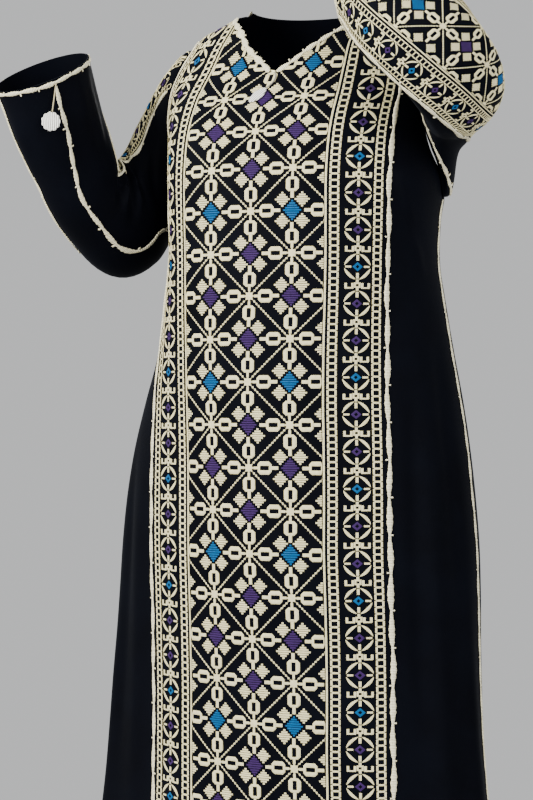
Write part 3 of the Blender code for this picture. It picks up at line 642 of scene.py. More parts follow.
def armhole_reach(level, width):
    """Half the width of the armhole at a height, towards the front or the back."""
    share = (level - ARMHOLE_MIDDLE) / ARMHOLE_HALF
    return width * np.sqrt(np.clip(1.0 - share * share, 0.0, 1.0))


def armhole_ring(body, side, turns):
    """Points round an armhole: from its top by the front, below the arm, and the back."""
    levels = ARMHOLE_MIDDLE + ARMHOLE_HALF * np.cos(turns)
    fore = np.sin(turns)
    width = np.where(fore >= 0, ARMHOLE_FRONT, ARMHOLE_BACK)
    arcs = side * (body.side_seam(side, levels) - fore * width)
    return body.at(arcs, levels, ROOT_LIFT), body.look_up(body.normals, arcs, levels)


def rounded_path(start, corner, end, radius, shares):
    """Two straight runs with a round bend: points, directions, the bend's axis, length."""
    a, b = unit(corner - start), unit(end - corner)
    half = 0.5 * math.acos(float(np.clip(np.dot(-a, b), -1.0, 1.0)))
    cut = radius / math.tan(half)
    arc = radius * (math.pi - 2 * half)
    centre = corner + unit(b - a) * radius / math.sin(half)
    inward = unit(centre - (corner - a * cut))
    first = np.linalg.norm(corner - start) - cut
    total = first + arc + np.linalg.norm(end - corner) - cut
    points, directions = [], []
    for run in shares * total:
        if run <= first:
            points.append(start + a * run)
            directions.append(a)
        elif run <= first + arc:
            angle = (run - first) / radius
            points.append(centre + radius * (a * math.sin(angle) - inward * math.cos(angle)))
            directions.append(a * math.cos(angle) + inward * math.sin(angle))
        else:
            points.append(corner + b * (cut + run - first - arc))
            directions.append(b)
    return np.array(points), np.array(directions), unit(np.cross(a, b)), total


def sleeve_root(rings, ring, ring_normals, directions, last):
    """Blend the first rings from the armhole's own ring to the tube."""
    target = rings[last]
    reach = np.linalg.norm(target - ring, axis=1)[:, None] * ROOT_FULLNESS
    for k in range(last):
        outwards, onwards = reach * ring_normals, reach * directions[last]
        rings[k] = curve_between(k / last, ring, outwards, target, onwards)


def sleeve_rings(body, arm):
    """Rings of points down one sleeve, their middles, and how far down it each lies."""
    name, side, stand_off, corner, cuff, bend, root = arm
    turns = np.arange(DENSE_TURN // 2) / (DENSE_TURN // 2) * 2 * math.pi
    ring, ring_normals = armhole_ring(body, side, turns)
    start = ring.mean(axis=0) + np.array([side * stand_off, 0.0, 0.0])
    corner, cuff = np.array(corner), np.array(cuff)
    shares = np.linspace(0.0, 1.0, SLEEVE_STATIONS)
    centres, directions, lateral, total = rounded_path(start, corner, cuff, bend, shares)
    sizes = smooth_table(SLEEVE_ROWS[name], shares)
    if np.dot(lateral, (side, 0.0, 0.6)) < 0:
        lateral = -lateral
    rings = []
    for k in range(SLEEVE_STATIONS):
        inward = unit(np.cross(directions[k], lateral))
        if np.dot(inward, cuff + start - 2 * corner) < 0:
            inward = -inward
        angle = turns + math.radians(sizes[k, 4])
        across = np.cos(angle) * sizes[k, 1]
        towards = np.sin(angle) * np.where(np.sin(angle) >= 0, sizes[k, 2], sizes[k, 3])
        rings.append(centres[k] + across[:, None] * lateral + towards[:, None] * inward)
    last = int(np.searchsorted(shares * total, root))
    sleeve_root(rings, ring, ring_normals, directions, last)
    return rings, centres, shares * total


def make_sleeve(body, arm):
    """One sleeve as a surface: a flared root at the armhole, then a bent tube to the cuff."""
    rings, centres, levels = sleeve_rings(body, arm)
    steps = np.arange(-SLEEVE_HALF_GIRTH, SLEEVE_HALF_GIRTH + ARC_STEP / 2, ARC_STEP)
    evened = [even_ring(one, steps) for one in rings]
    points = np.array([one for one, girth in evened])
    girths = np.array([girth for one, girth in evened])
    surface = Surface(points, levels, steps, girths)
    outwards = surface.points[-1, len(steps) // 2] - centres[-1]
    if np.dot(surface.normals[-1, len(steps) // 2], outwards) < 0:
        surface = Surface(points, levels, steps, girths, outward=-1.0)
    surface.total = levels[-1]
    surface.name = arm[0]
    return surface


def add_object(name, data):
    """A new object in the scene."""
    made = bpy.data.objects.new(name, data)
    bpy.context.scene.collection.objects.link(made)
    return made


def set_camera():
    """The camera stands at the photograph's angle, level with the hips."""
    lens = bpy.data.cameras.new("camera")
    lens.sensor_fit = "HORIZONTAL"
    lens.sensor_width = SENSOR_WIDTH
    lens.lens = SENSOR_WIDTH * VIEW_FOCAL_PIXELS / PHOTO_WIDTH
    camera = add_object("camera", lens)
    cos, sin = math.cos(VIEW_ANGLE), math.sin(VIEW_ANGLE)
    camera.location = (
        -VIEW_SIDE * cos + VIEW_DISTANCE * sin,
        -VIEW_SIDE * sin - VIEW_DISTANCE * cos,
        VIEW_HEIGHT,
    )
    camera.rotation_euler = (math.pi / 2, 0.0, VIEW_ANGLE)
    bpy.context.scene.camera = camera


def set_light():
    """Plain soft studio light, a little stronger from the front left."""
    world = bpy.data.worlds.new("studio")
    world.use_nodes = True
    background = world.node_tree.nodes["Background"]
    background.inputs["Color"].default_value = WORLD_COLOUR
    background.inputs["Strength"].default_value = WORLD_STRENGTH
    bpy.context.scene.world = world
    for name, place, aim, size, power, colour in LAMP_ROWS:
        lamp = bpy.data.lights.new(name, "AREA")
        lamp.shape = "SQUARE"
        lamp.size = size
        lamp.energy = power
        lamp.color = colour
        made = add_object(name, lamp)
        way = np.array(place) - np.array(aim)
        flat = math.hypot(way[0], way[1])
        made.location = place
        made.rotation_euler = (math.atan2(flat, way[2]), 0.0, math.atan2(way[0], -way[1]))


def set_floor():
    """A plain pale round floor, a little below the hem."""
    turns = np.arange(FLOOR_SIDES) / FLOOR_SIDES * 2 * math.pi
    level = np.full(FLOOR_SIDES, FLOOR_LEVEL)
    rim = np.column_stack([np.cos(turns) * FLOOR_RADIUS, np.sin(turns) * FLOOR_RADIUS, level])
    floor = plain_mesh("floor", rim, [tuple(range(FLOOR_SIDES))])
    material, shader = new_material("pale_grey_floor")
    shader.inputs["Base Color"].default_value = FLOOR_COLOUR
    shader.inputs["Roughness"].default_value = FLOOR_ROUGHNESS
    floor.data.materials.append(material)


def plain_mesh(name, points, faces, plan=None):
    """A named object from points and faces, with its plan as a UV map."""
    mesh = bpy.data.meshes.new(name)
    mesh.from_pydata(np.asarray(points).tolist(), [], faces)
    if plan is not None:
        layer = mesh.uv_layers.new(name="plan")
        corners = np.empty(len(mesh.loops), dtype=np.int64)
        mesh.loops.foreach_get("vertex_index", corners)
        layer.data.foreach_set("uv", np.asarray(plan, dtype=np.float32)[corners].ravel())
    return add_object(name, mesh)


def finish_piece(made, material, angle=CLOTH_ANGLE):
    """Shading, material, and the body it rides on."""
    made.data.shade_smooth()
    made.data.set_sharp_from_angle(angle=math.radians(angle))
    made.data.materials.append(material)
    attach(made, "root")
    return made


def net_faces(rows, columns, round_rows=False, round_columns=False):
    """Faces of a net of points whose columns run to the right and whose rows run up."""
    faces = []
    for row in range(rows if round_rows else rows - 1):
        low, high = row * columns, (row + 1) % rows * columns
        for k in range(columns if round_columns else columns - 1):
            n = (k + 1) % columns
            faces.append((low + k, low + n, high + n, high + k))
    return faces


def closed_wall(outer, inner, faces):
    """Points and faces of a wall between two sheets that share their faces."""
    count = len(outer)
    edges = {(a, b) for face in faces for a, b in zip(face, face[1:] + face[:1])}
    rim = sorted(pair for pair in edges if (pair[1], pair[0]) not in edges)
    all_faces = list(faces)
    all_faces += [tuple(count + k for k in reversed(face)) for face in faces]
    all_faces += [(b, a, count + a, count + b) for a, b in rim]
    return np.vstack([outer, inner]), all_faces


def cloth_area(points, faces):
    """The flat area of a sheet of four-sided faces."""
    corners = points[np.array(faces)]
    diagonals = corners[:, 2] - corners[:, 0], corners[:, 3] - corners[:, 1]
    return float(np.linalg.norm(np.cross(*diagonals), axis=1).sum() / 2)


def cloth_wall(name, node, surface, arcs, levels, faces, material):
    """A thin shell of cloth on the surface in place of a solid, and its outer points."""
    outer = surface.at(arcs, levels)
    inner = surface.at(arcs, levels, -CLOTH)
    points, all_faces = closed_wall(outer, inner, faces)
    plan = np.stack([arcs, levels], axis=1)
    made = plain_mesh(name, points, all_faces, np.vstack([plan, plan]))
    finish_piece(made, material)
    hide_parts(node)
    return made, outer


def cloth_piece(name, node, surface, rows, low, high, width, material, slot="black_cloth"):
    """A piece of cloth between two edges. Its cut is its longest row and column, and its area."""
    share = even_share(width)
    arcs = low[:, None] + (high - low)[:, None] * share
    girth = surface.girth(rows)[:, None]
    arcs = np.where(arcs > girth / 2, arcs - girth, arcs)
    levels = np.repeat(rows[:, None], len(share), axis=1)
    if surface.outward < 0:
        arcs, levels = arcs[:, ::-1], levels[:, ::-1]
    faces = net_faces(*arcs.shape)
    made, outer = cloth_wall(
        name, node, surface, arcs.ravel(), levels.ravel(), faces, material,
    )
    net = outer.reshape(*arcs.shape, 3)
    wide = float(np.linalg.norm(np.diff(net, axis=1), axis=2).sum(axis=1).max())
    long = float(np.linalg.norm(np.diff(net, axis=0), axis=2).sum(axis=0).max())
    made["cut"] = (wide, long, cloth_area(outer, faces))
    return made


def even_share(width):
    """Shares from 0 to 1, about a cell of cloth apart."""
    return np.linspace(0.0, 1.0, max(3, int(round(width / CLOTH_CELL)) + 1))


def body_levels(top):
    """Rows of points from the hem up to a height."""
    return np.linspace(HEM, top, int(round((top - HEM) / CLOTH_CELL)) + 1)


def make_body_cloth(body, crepe):
    """The front panel, its two sides and the back."""
    pieces = {"front_panel": front_panel(body, crepe)}
    rows = body_levels(SIDE_PIECE_TOP)
    for side, name in ((-1, "left"), (1, "right")):
        low = body.panel_edge(side, rows) + SEAM
        high = body.side_seam(side, rows) - armhole_reach(rows, ARMHOLE_FRONT) - SEAM
        high = np.maximum(high, low + POINT_WIDTH)
        edges = (low, high) if side > 0 else (-high, -low)
        node = f"front_side_{name}"
        pieces[node] = cloth_piece(f"side_cloth_{name}", node, body, rows, *edges, SIDE_WIDTH, crepe)
    rows = body_levels(NECK_BACK)
    reach = armhole_reach(rows, ARMHOLE_BACK)
    low = body.side_seam(1, rows) + reach
    high = body.girth(rows) - body.side_seam(-1, rows) - reach
    pieces["back"] = cloth_piece("back_cloth", "back", body, rows, low, high, BACK_WIDTH, crepe)
    return pieces


def front_panel(body, crepe):
    """The front panel: two fans of cloth that share the centre line below the V."""
    rows = body_levels(NECK_POINT)
    share = even_share(PANEL_HALF)
    columns = len(share)
    fans = {}
    for side in (-1, 1):
        inside = body.vee_reach(side, rows)[:, None]
        edge = body.panel_edge(side, rows)[:, None]
        fans[side] = side * (inside + (edge - inside) * share)
    arcs = np.hstack([fans[-1][:, ::-1], fans[1]])
    levels = np.repeat(rows[:, None], 2 * columns, axis=1)
    index = np.arange(arcs.size).reshape(arcs.shape)
    merged = body.vee_reach(1, rows) == 0.0
    index[merged, columns] = index[merged, columns - 1]
    faces = np.stack([index[:-1, :-1], index[:-1, 1:], index[1:, 1:], index[1:, :-1]], axis=-1)
    faces = np.delete(faces, columns - 1, axis=1)
    used, renumbered = np.unique(faces, return_inverse=True)
    faces = [tuple(face) for face in renumbered.reshape(-1, 4).tolist()]
    made, outer = cloth_wall(
        "panel_cloth", "front_panel", body, arcs.ravel()[used], levels.ravel()[used], faces,
        crepe,
    )
    wide, long = 2 * PANEL_HALF + PANEL_SPARE[0], NECK_POINT - HEM + PANEL_SPARE[1]
    made["cut"] = (wide, long, cloth_area(outer, faces))
    return made


def make_sleeve_cloth(sleeve, crepe):
    """The embroidered outer piece and the two plain pieces of a sleeve."""
    rows = np.linspace(0.0, sleeve.total, int(round(sleeve.total / CLOTH_CELL * SLEEVE_ROW_SHARE)))
    half = sleeve.girth(rows) / 2
    front = np.full_like(rows, SLEEVE_FRONT_EDGE)
    back = np.full_like(rows, SLEEVE_BACK_EDGE)
    plan = (
        ("outer", back, front, "embroidered_cloth"),
        ("front", front + SEAM, half - SEAM, "black_cloth"),
        ("back", -half + SEAM, back - SEAM, "black_cloth"),
    )
    pieces = {}
    for part, low, high, slot in plan:
        node, width = f"sleeve_{sleeve.name}_{part}", SLEEVE_WIDTHS[part]
        pieces[node] = cloth_piece(f"{node}_cloth", node, sleeve, rows, low, high, width, crepe, slot)
    return pieces


def narrowing_rings(outer, inner, shares, rise):
    """Rings of points that lead from an outer outline towards an inner one."""
    return [
        np.column_stack([outer * (1 - share) + inner * share, np.full(len(outer), height * rise)])
        for share, height in shares
    ]


def pad(outline, rise=1.0):
    """A low padded shape from its outline: flat below, rounded above."""
    outline = np.array(outline, dtype=float)
    middle = outline.mean(axis=0)
    count = len(outline)
    rings = narrowing_rings(outline, middle, PAD_RINGS, rise)
    tips = [[*middle, rise * PAD_TIP], [*middle, 0.0]]
    faces = net_faces(len(PAD_RINGS), count, round_columns=True)
    for k in range(count):
        n = (k + 1) % count
        faces += [(2 * count + k, 2 * count + n, 3 * count), (n, k, 3 * count + 1)]
    return np.vstack([*rings, tips]), faces


def band(outer, inner, rise):
    """A low rounded band between two outlines with the same number of points."""
    rings = narrowing_rings(np.array(outer), np.array(inner), BAND_RINGS, rise)
    return np.vstack(rings), net_faces(len(BAND_RINGS), len(outer), True, True)


def bar(left, bottom, right, top):
    """The outline of an upright rectangle."""
    return [(left, bottom), (right, bottom), (right, top), (left, top)]


def diamond(wide, tall):
    """The outline of a diamond from its half sizes."""
    return [(wide, 0), (0, tall), (-wide, 0), (0, -tall)]


def stretched(shape, across, up):
    """A shape drawn at another width and height, with its rise kept."""
    points, faces = shape
    return points * [across, up, 1.0], faces


def together(shapes):
    """One shape from several."""
    points, faces, count = [], [], 0
    for shape_points, shape_faces in shapes:
        points.append(shape_points)
        faces += [tuple(count + k for k in face) for face in shape_faces]
        count += len(shape_points)
    return np.vstack(points), faces


def stitched_diamond(steps, wide, tall, rise):
    """A diamond of level satin stitches, whose sides climb as counted thread does."""
    cell = tall / (steps + 0.5)
    rows = []
    for k in range(-steps, steps + 1):
        half = wide * (1 - abs(k) / (steps + 0.5))
        rows.append(pad(bar(-half, (k - SATIN_HALF) * cell, half, (k + SATIN_HALF) * cell), rise))
    return together(rows)


def rayed_star(rays, out, between):
    """The outline of a star with blunt rays."""
    angles = np.arange(2 * rays) * math.pi / rays
    reach = np.where(np.arange(2 * rays) % 2 == 0, out, between)
    return np.column_stack([reach * np.cos(angles), reach * np.sin(angles)])


def rope_line(length, beads, wide, narrow):
    """A rope line of small beads, lying along x."""
    stations = 2 * beads + 1
    x = np.linspace(-length / 2, length / 2, stations)
    half = np.where(np.arange(stations) % 2 == 1, wide, narrow) / 2
    rows = [
        np.column_stack([x, -half, np.zeros(stations)]),
        np.column_stack([x, np.zeros(stations), 0.5 + half / wide]),
        np.column_stack([x, half, np.zeros(stations)]),
    ]
    faces = net_faces(len(rows), stations, round_rows=True)
    faces.append((0, stations, 2 * stations))
    faces.append((3 * stations - 1, 2 * stations - 1, stations - 1))
    return np.vstack(rows), faces


def lens(wide, tall, pull):
    """A lens-shaped quarter of an oval: its arc, and the chord inside it, drawn in or out."""
    angles = np.radians(np.linspace(*LENS_ARC))
    arc = np.column_stack([np.cos(angles) * wide, np.sin(angles) * tall])
    chord = np.linspace(*LENS_CHORD)[:, None]
    line = arc[-1] * (1 - chord) + arc[0] * chord
    return np.vstack([arc, line * (1 - pull * np.array(LENS_BEND)[:, None])])


def thread_shapes(sizes):
    """Every shape that the embroidery is laid out from, by name."""
    shapes = {name: pad(bar(*sides), rise) for name, (*sides, rise) in BAR_ROWS.items()}
    shapes["rail"] = stretched(shapes["rail"], sizes["stroke"], 1.0)
    shapes["rung"] = stretched(shapes["rung"], 1.0, sizes["stroke"])
    shapes["petal"] = stitched_diamond(*PETAL)
    shapes["heart"] = stitched_diamond(*HEART)
    shapes["star"] = pad(rayed_star(*STAR))
    shapes["rope"] = rope_line(NODE_PITCH * math.sqrt(2) - ROPE_SHORT, *ROPE)
    shapes["link"] = band(LINK_OUTER, LINK_INNER, 1.0)
    shapes["box"] = band(bar(*BOX_OUTER), bar(*BOX_INNER), BAND_RISE)
    shapes["eye"] = band(diamond(*EYE_OUTER), diamond(*EYE_INNER), BAND_RISE)
    quarter, faces = pad(lens(*LENS, sizes["lens_pull"]))
    shapes["lenses"] = together([
        (quarter * [a, b, 1.0], faces if a * b > 0 else [face[::-1] for face in faces])
        for a in (-1, 1) for b in (-1, 1)
    ])
    return shapes


class Plan:
    """Where a panel's own plan lies on its surface, and where its stitches may go."""

    def __init__(self, surface, levels, run, across, allowed):
        self.surface = surface
        self.levels = levels
        self.run = run
        self.across = across
        self.allowed = allowed

    def level(self, y):
        """The level on the surface of a distance up the panel."""
        return np.interp(y, self.run, self.levels)

    def run_to(self, level):
        """The distance up the panel of a level on the surface."""
        return float(np.interp(level, self.levels, self.run))

    def place(self, u, y, rise, reach):
        """Points on the cloth, and which of them were held back at an edge."""
        level = self.level(y)
        wanted = self.across(np.clip(u, *reach), level)
        arc, held_level = self.allowed(wanted, level)
        outside = (u < reach[0]) | (u > reach[1])
        moved = outside | (np.abs(arc - wanted) > NEAR_NOTHING) | (held_level != level)
        return self.surface.at(arc, held_level, rise), moved


class Stitches:
    """Collects the motifs of each colour of thread, all drawn at one size."""

    def __init__(self, plan, reach, sizes, scale):
        self.plan = plan
        self.reach = reach
        self.shapes = thread_shapes(sizes)
        self.scale = scale
        self.parts = {}

    def add(self, colour, name, spots, shifts=MIDDLE, turns=UPRIGHT):
        """Lay a shape by each spot (u, y), at every shift from it and every turn."""
        points, faces = stretched(self.shapes[name], self.scale, self.scale)
        laid = np.array([
            (u + right * self.scale, y + up * self.scale, math.radians(turn))
            for u, y in spots for right, up in shifts for turn in turns
        ])
        cos, sin = np.cos(laid[:, 2:]), np.sin(laid[:, 2:])
        u = laid[:, :1] + points[:, 0] * cos - points[:, 1] * sin
        y = laid[:, 1:2] + points[:, 0] * sin + points[:, 1] * cos
        rise = np.broadcast_to(points[:, 2] * THREAD_RISE - THREAD_SUNK, u.shape)
        placed, moved = self.plan.place(u, y, rise, self.reach)
        self.parts.setdefault(colour, []).append((placed, moved, np.stack([u, y], axis=-1), faces))

    def lay(self, rows, spots):
        """Lay every shape of a cream motif by each spot."""
        for name, shifts, turns in rows:
            self.add("cream", name, spots, shifts, turns)

    def make(self, name, colour):
        """The mesh of all motifs of a colour, without what an edge cut away."""
        points, plans, faces, count = [], [], [], 0
        flip = self.plan.surface.outward < 0
        for placed, moved, plan, shape_faces in self.parts[colour]:
            for spot in np.flatnonzero(~moved.all(axis=1)):
                cut = moved[spot]
                for face in shape_faces:
                    if not all(cut[k] for k in face):
                        face = tuple(count + k for k in face)
                        faces.append(face[::-1] if flip else face)
                points.append(placed[spot])
                plans.append(plan[spot])
                count += len(placed[spot])
        return plain_mesh(name, np.vstack(points), faces, np.vstack(plans))

    def pieces(self, name, threads):
        """One piece of thread relief for each colour."""
        made = []
        for colour in self.parts:
            piece = self.make(f"{name}_{colour}", colour)
            made.append(finish_piece(piece, threads[colour], STITCH_ANGLE))
        return made


def front_heart(column, row):
    """Every second flower of the outer columns is blue, and the others are purple."""
    return "blue" if column % 2 != 0 and (row // 2) % 2 == 0 else "purple"


def sleeve_heart(column, row):
    """Only the middle column's flowers have hearts, blue and purple in turn."""
    if column != 0:
        return None
    return "blue" if row % 4 == 0 else "purple"


def front_limits(body):
    """Holds stitches on the front panel: at the V, the shoulders and the hem."""
    def allowed(arc, level):
        held = np.clip(level, HEM + HEM_STITCH_MARGIN, NECK_POINT - STITCH_MARGIN)
        side = np.where(arc >= 0, 1.0, -1.0)
        reach = np.where(side > 0, body.vee_reach(1, held), body.vee_reach(-1, held))
        reach = np.where(held > VEE_BOTTOM, reach + VEE_STITCH_MARGIN, 0.0)
        return np.where(np.abs(arc) < reach, side * reach, arc), held
    return allowed


def length_along(surface, arc, levels):
    """How far along the cloth each level is, on a line that keeps one place across it."""
    line = surface.at(np.full(len(levels), arc), levels)
    steps = np.linalg.norm(np.diff(line, axis=0), axis=1)
    return np.concatenate([[0.0], np.cumsum(steps)])


def front_plans(body):
    """The front panel's plans: the field by length of cloth, the borders by height."""
    def across(u, level):
        edge = np.where(u >= 0, body.panel_edge(1, level), body.panel_edge(-1, level))
        return u * edge / PANEL_HALF
    levels = np.linspace(HEM, NECK_POINT, FRONT_PLAN_LEVELS)
    limits = front_limits(body)
    field = Plan(body, levels, length_along(body, 0.0, levels), across, limits)
    border = Plan(body, levels, levels - HEM, across, limits)
    return field, border


def sleeve_plan(sleeve, u):
    """A plan of a sleeve's panel whose lengths are true at one distance across it."""
    def allowed(arc, level):
        return arc, np.clip(level, STITCH_MARGIN, sleeve.total - STITCH_MARGIN)
    levels = np.linspace(0.0, sleeve.total, SLEEVE_PLAN_LEVELS)
    run = length_along(sleeve, SLEEVE_MIDDLE + u, levels)
    return Plan(sleeve, levels, run, lambda u, level: SLEEVE_MIDDLE + u, allowed)


def embroider_field(name, plan, sizes, pitch, columns, rows, heart_colour, threads):
    """Flowers and stars in turn on a square lattice, with links and rope lines."""
    reach = (-sizes["field_edge"], sizes["field_edge"])
    stitches = Stitches(plan, reach, sizes, pitch / NODE_PITCH)
    nodes = [(i, j, u, y) for i, u in columns for j, y in rows]
    stars = [(u, y) for i, j, u, y in nodes if (i + j) % 2]
    flowers = [(u, y) for i, j, u, y in nodes if (i + j) % 2 == 0]
    stitches.lay(FLOWER_ROWS, flowers)
    stitches.add("cream", "star", stars)
    for spots, lean in ((stars, 45.0), (flowers, -45.0)):
        stitches.add("cream", "rope", spots, [(NODE_PITCH / 2, NODE_PITCH / 2)], [lean])
    for colour in ("purple", "blue"):
        coloured = [node for node in nodes if sum(node[:2]) % 2 == 0 and heart_colour(*node[:2]) == colour]
        stitches.add(colour, "heart", [(u, y) for i, j, u, y in coloured])
    return stitches.pieces(name, threads)


def embroider_border(name, plan, sizes, side, centres, eye_colour, threads):
    """A border beside the field: a line, and round medallions between two ladders."""
    line, inner, middle, outer = (side * place for place in sizes["places"])
    reach = sorted(side * edge for edge in sizes["border"])
    stitches = Stitches(plan, reach, sizes, sizes["ladder"])
    heights = np.arange(STITCH_MARGIN, plan.run[-1], LADDER_PITCH * sizes["ladder"])
    stitches.add("cream", "line", [(line, y) for y in heights])
    for place in (inner, outer):
        stitches.lay(LADDER_ROWS, [(place, y) for y in heights])
    stitches.scale = sizes["medallion"]
    stitches.lay(MEDALLION_ROWS, [(middle, y) for k, y in centres])
    for colour in ("purple", "blue"):
        stitches.add(colour, "eye", [(middle, y) for k, y in centres if eye_colour(k) == colour])
    return stitches.pieces(name, threads)


def embroider_front(body, threads):
    """The field and the two borders of the front panel."""
    plan, border_plan = front_plans(body)
    top = plan.run_to(FLOWER_TOP)
    rows = [(j, top - (j - FLOWER_TOP_ROW) * NODE_PITCH) for j in FRONT_ROWS]
    columns = [(i, i * NODE_PITCH) for i in FRONT_COLUMNS]
    made = embroider_field(
        "field_stitches", plan, FRONT_SIZES, NODE_PITCH, columns, rows, front_heart, threads,
    )
    for side, name in ((-1, "left"), (1, "right")):
        blue = border_plan.run_to(MEDALLION_BLUE[side])
        centres = [(k, blue + k * MEDALLION_PITCH) for k in FRONT_MEDALLIONS]
        name = f"border_stitches_{name}"
        made += embroider_border(name, border_plan, FRONT_SIZES, side, centres, front_eye, threads)
    return made


def front_eye(number):
    """One medallion in three has a blue eye."""
    return "blue" if number % 3 == 0 else "purple"


def sleeve_eye(number):
    """Blue and purple eyes in turn."""
    return "blue" if number % 2 == 0 else "purple"


def embroider_sleeve(sleeve, threads):
    """The field and the two borders of a sleeve's panel, counted from the cuff."""
    plan = sleeve_plan(sleeve, 0.0)
    end, pitch = plan.run[-1], SLEEVE_NODE_PITCH
    numbers = range(SLEEVE_FIRST_ROW, int(end / pitch) - 1)
    rows = [(j, end - SLEEVE_FIRST_BLUE - j * pitch) for j in numbers]
    columns = [(i, i * pitch) for i in SLEEVE_COLUMNS]
    name = f"sleeve_stitches_{sleeve.name}"
    made = embroider_field(name, plan, SLEEVE_SIZES, pitch, columns, rows, sleeve_heart, threads)
    for side, edge in ((-1, "back"), (1, "front")):
        plan = sleeve_plan(sleeve, side * SLEEVE_SIZES["places"][2])
        end, pitch = plan.run[-1], SLEEVE_MEDALLION_PITCH
        first = end - SLEEVE_MEDALLION_START
        centres = [(k, first - k * pitch) for k in range(int(end / pitch) + 1)]
        border = f"{name}_{edge}"
        made += embroider_border(border, plan, SLEEVE_SIZES, side, centres, sleeve_eye, threads)
    return made


def number_from(name):
    """A fixed number from a name, for an uneven hand that is the same each time."""
    return sum((k + 1) * ord(letter) for k, letter in enumerate(name))


def worked_braid(
        node, surface, path_arcs, path_levels, material, leaf, wide=BRAID_LEAF, closed=False,
        picot_side=1.0):
    """A braid of leaf-shaped lengths with small picots along a path, in place of its solid."""
    name = f"{node}_worked"
    steps = np.hypot(np.diff(path_arcs), np.diff(path_levels))
    travelled = np.concatenate([[0.0], np.cumsum(steps)])
    leaves = max(2, int(round(travelled[-1] / leaf)))
    index = np.arange(leaves * BRAID_STEPS + (0 if closed else 1))
    run = index / (leaves * BRAID_STEPS) * travelled[-1]
    arcs = np.interp(run, travelled, path_arcs)
    levels = np.interp(run, travelled, path_levels)
    rng = np.random.default_rng(number_from(name))
    size = rng.uniform(*LEAF_SWELL, leaves + 1)[index // BRAID_STEPS]
    swell = np.sin(np.pi * (index / BRAID_STEPS % 1.0) ** LEAF_SHAPE[0]) ** LEAF_SHAPE[1]
    bumps = 1.0 + LEAF_BUMPS[0] * np.sin(index * LEAF_BUMPS[1])
    half = (BRAID_JOINT + (wide - BRAID_JOINT) * swell * size) / 2 * bumps
    (slow, slow_wave), (quick, quick_wave) = BRAID_WANDER
    wander = slow * np.sin(run * slow_wave + rng.uniform(0, 6)) + quick * np.sin(run * quick_wave)
    along = unit(np.stack([np.gradient(arcs), np.gradient(levels)], axis=1))
    if closed:
        along = np.tile([1.0, 0.0], (len(index), 1))
    across = np.stack([along[:, 1], -along[:, 0]], axis=1)
    section = BRAID_SECTION
    if surface.outward < 0:
        section = tuple((-x, z) for x, z in section)[::-1]
    rings, plans = [], []
    for x, z in section:
        shift = half * x + wander
        out = BRAID_LIFT + BRAID_THICK * z * (BRAID_DEPTHS[0] + BRAID_DEPTHS[1] * swell)
        rings.append(surface.at(arcs + across[:, 0] * shift, levels + across[:, 1] * shift, out))
        plans.append(np.stack([run, half * x], axis=1))
    points = [np.stack(rings, axis=1).reshape(-1, 3)]
    plan = [np.stack(plans, axis=1).reshape(-1, 2)]
    sides = len(section)
    faces = [face[::-1] for face in net_faces(len(index), sides, closed, True)]
    start = len(points[0])
    if not closed:
        faces += [tuple(range(sides))[::-1], tuple(range(start - sides, start))]
    picot, picot_faces = pad(bar(-PICOT_HALF, 0.0, PICOT_HALF, PICOT_LENGTH))
    top = surface.total if surface.levels[0] == 0 else NECK_BACK - PICOT_MARGIN
    for number in range(1, leaves):
        at = number * BRAID_STEPS
        lean = picot_side if number % 3 else -picot_side
        out = lean * (half[at] / 2 + picot[:, 1:2])
        place = [arcs[at], levels[at]] + picot[:, :1] * along[at] + out * across[at]
        place[:, 1] = np.clip(place[:, 1], surface.levels[0] + PICOT_MARGIN, top)
        rise = PICOT_LIFT + picot[:, 2] * PICOT_RISE
        points.append(surface.at(place[:, 0], place[:, 1], rise))
        plan.append(place)
        way = -1 if (lean > 0) != (surface.outward < 0) else 1
        faces += [tuple(start + k for k in face[::way]) for face in picot_faces]
        start += len(picot)
    made = plain_mesh(name, np.vstack(points), faces, np.vstack(plan))
    finish_piece(made, material, WORKED_ANGLE)
    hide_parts(node)
    return made


def make_body_braids(body, braid):
    """Braids on the panel's edges, the side seams, the V and the back of the neck."""
    made = {}
    hem = HEM + HEM_MARGIN
    underarm = ARMHOLE_MIDDLE - ARMHOLE_HALF - TRIM_END_GAP
    vee = VEE_BOTTOM + NECK_BRAID_START
    for side, name in ((-1, "left"), (1, "right")):
        lines = (
            ("panel", hem, PANEL_BRAID_TOP, "body", body.panel_edge, SEAM / 2, side),
            ("side", hem, underarm, "body", body.side_seam, -SEAM / 2, side),
            ("neck", vee, NECK_BRAID_TOP, "neck", body.vee_reach, NECK_BRAID_PLACE, -side),
        )
        for part, low, high, path, edge, beyond, picot_side in lines:
            levels = np.linspace(low, high, PATH_POINTS[path])
            arcs = side * (edge(side, levels) + beyond)
            node, leaf = f"{part}_braid_{name}", LEAF_LENGTHS[part]
            made[node] = worked_braid(node, body, arcs, levels, braid, leaf, picot_side=picot_side)
    start = body.side_seam(1, NECK_POINT) + TRIM_END_GAP
    end = body.girth(NECK_POINT) - body.side_seam(-1, NECK_POINT) - TRIM_END_GAP
    arcs = np.linspace(start, end, PATH_POINTS["neck_back"])
    levels = np.full_like(arcs, NECK_POINT)
    node, leaf = "neck_braid_back", LEAF_LENGTHS["neck"]
    made[node] = worked_braid(node, body, arcs, levels, braid, leaf)
    return made


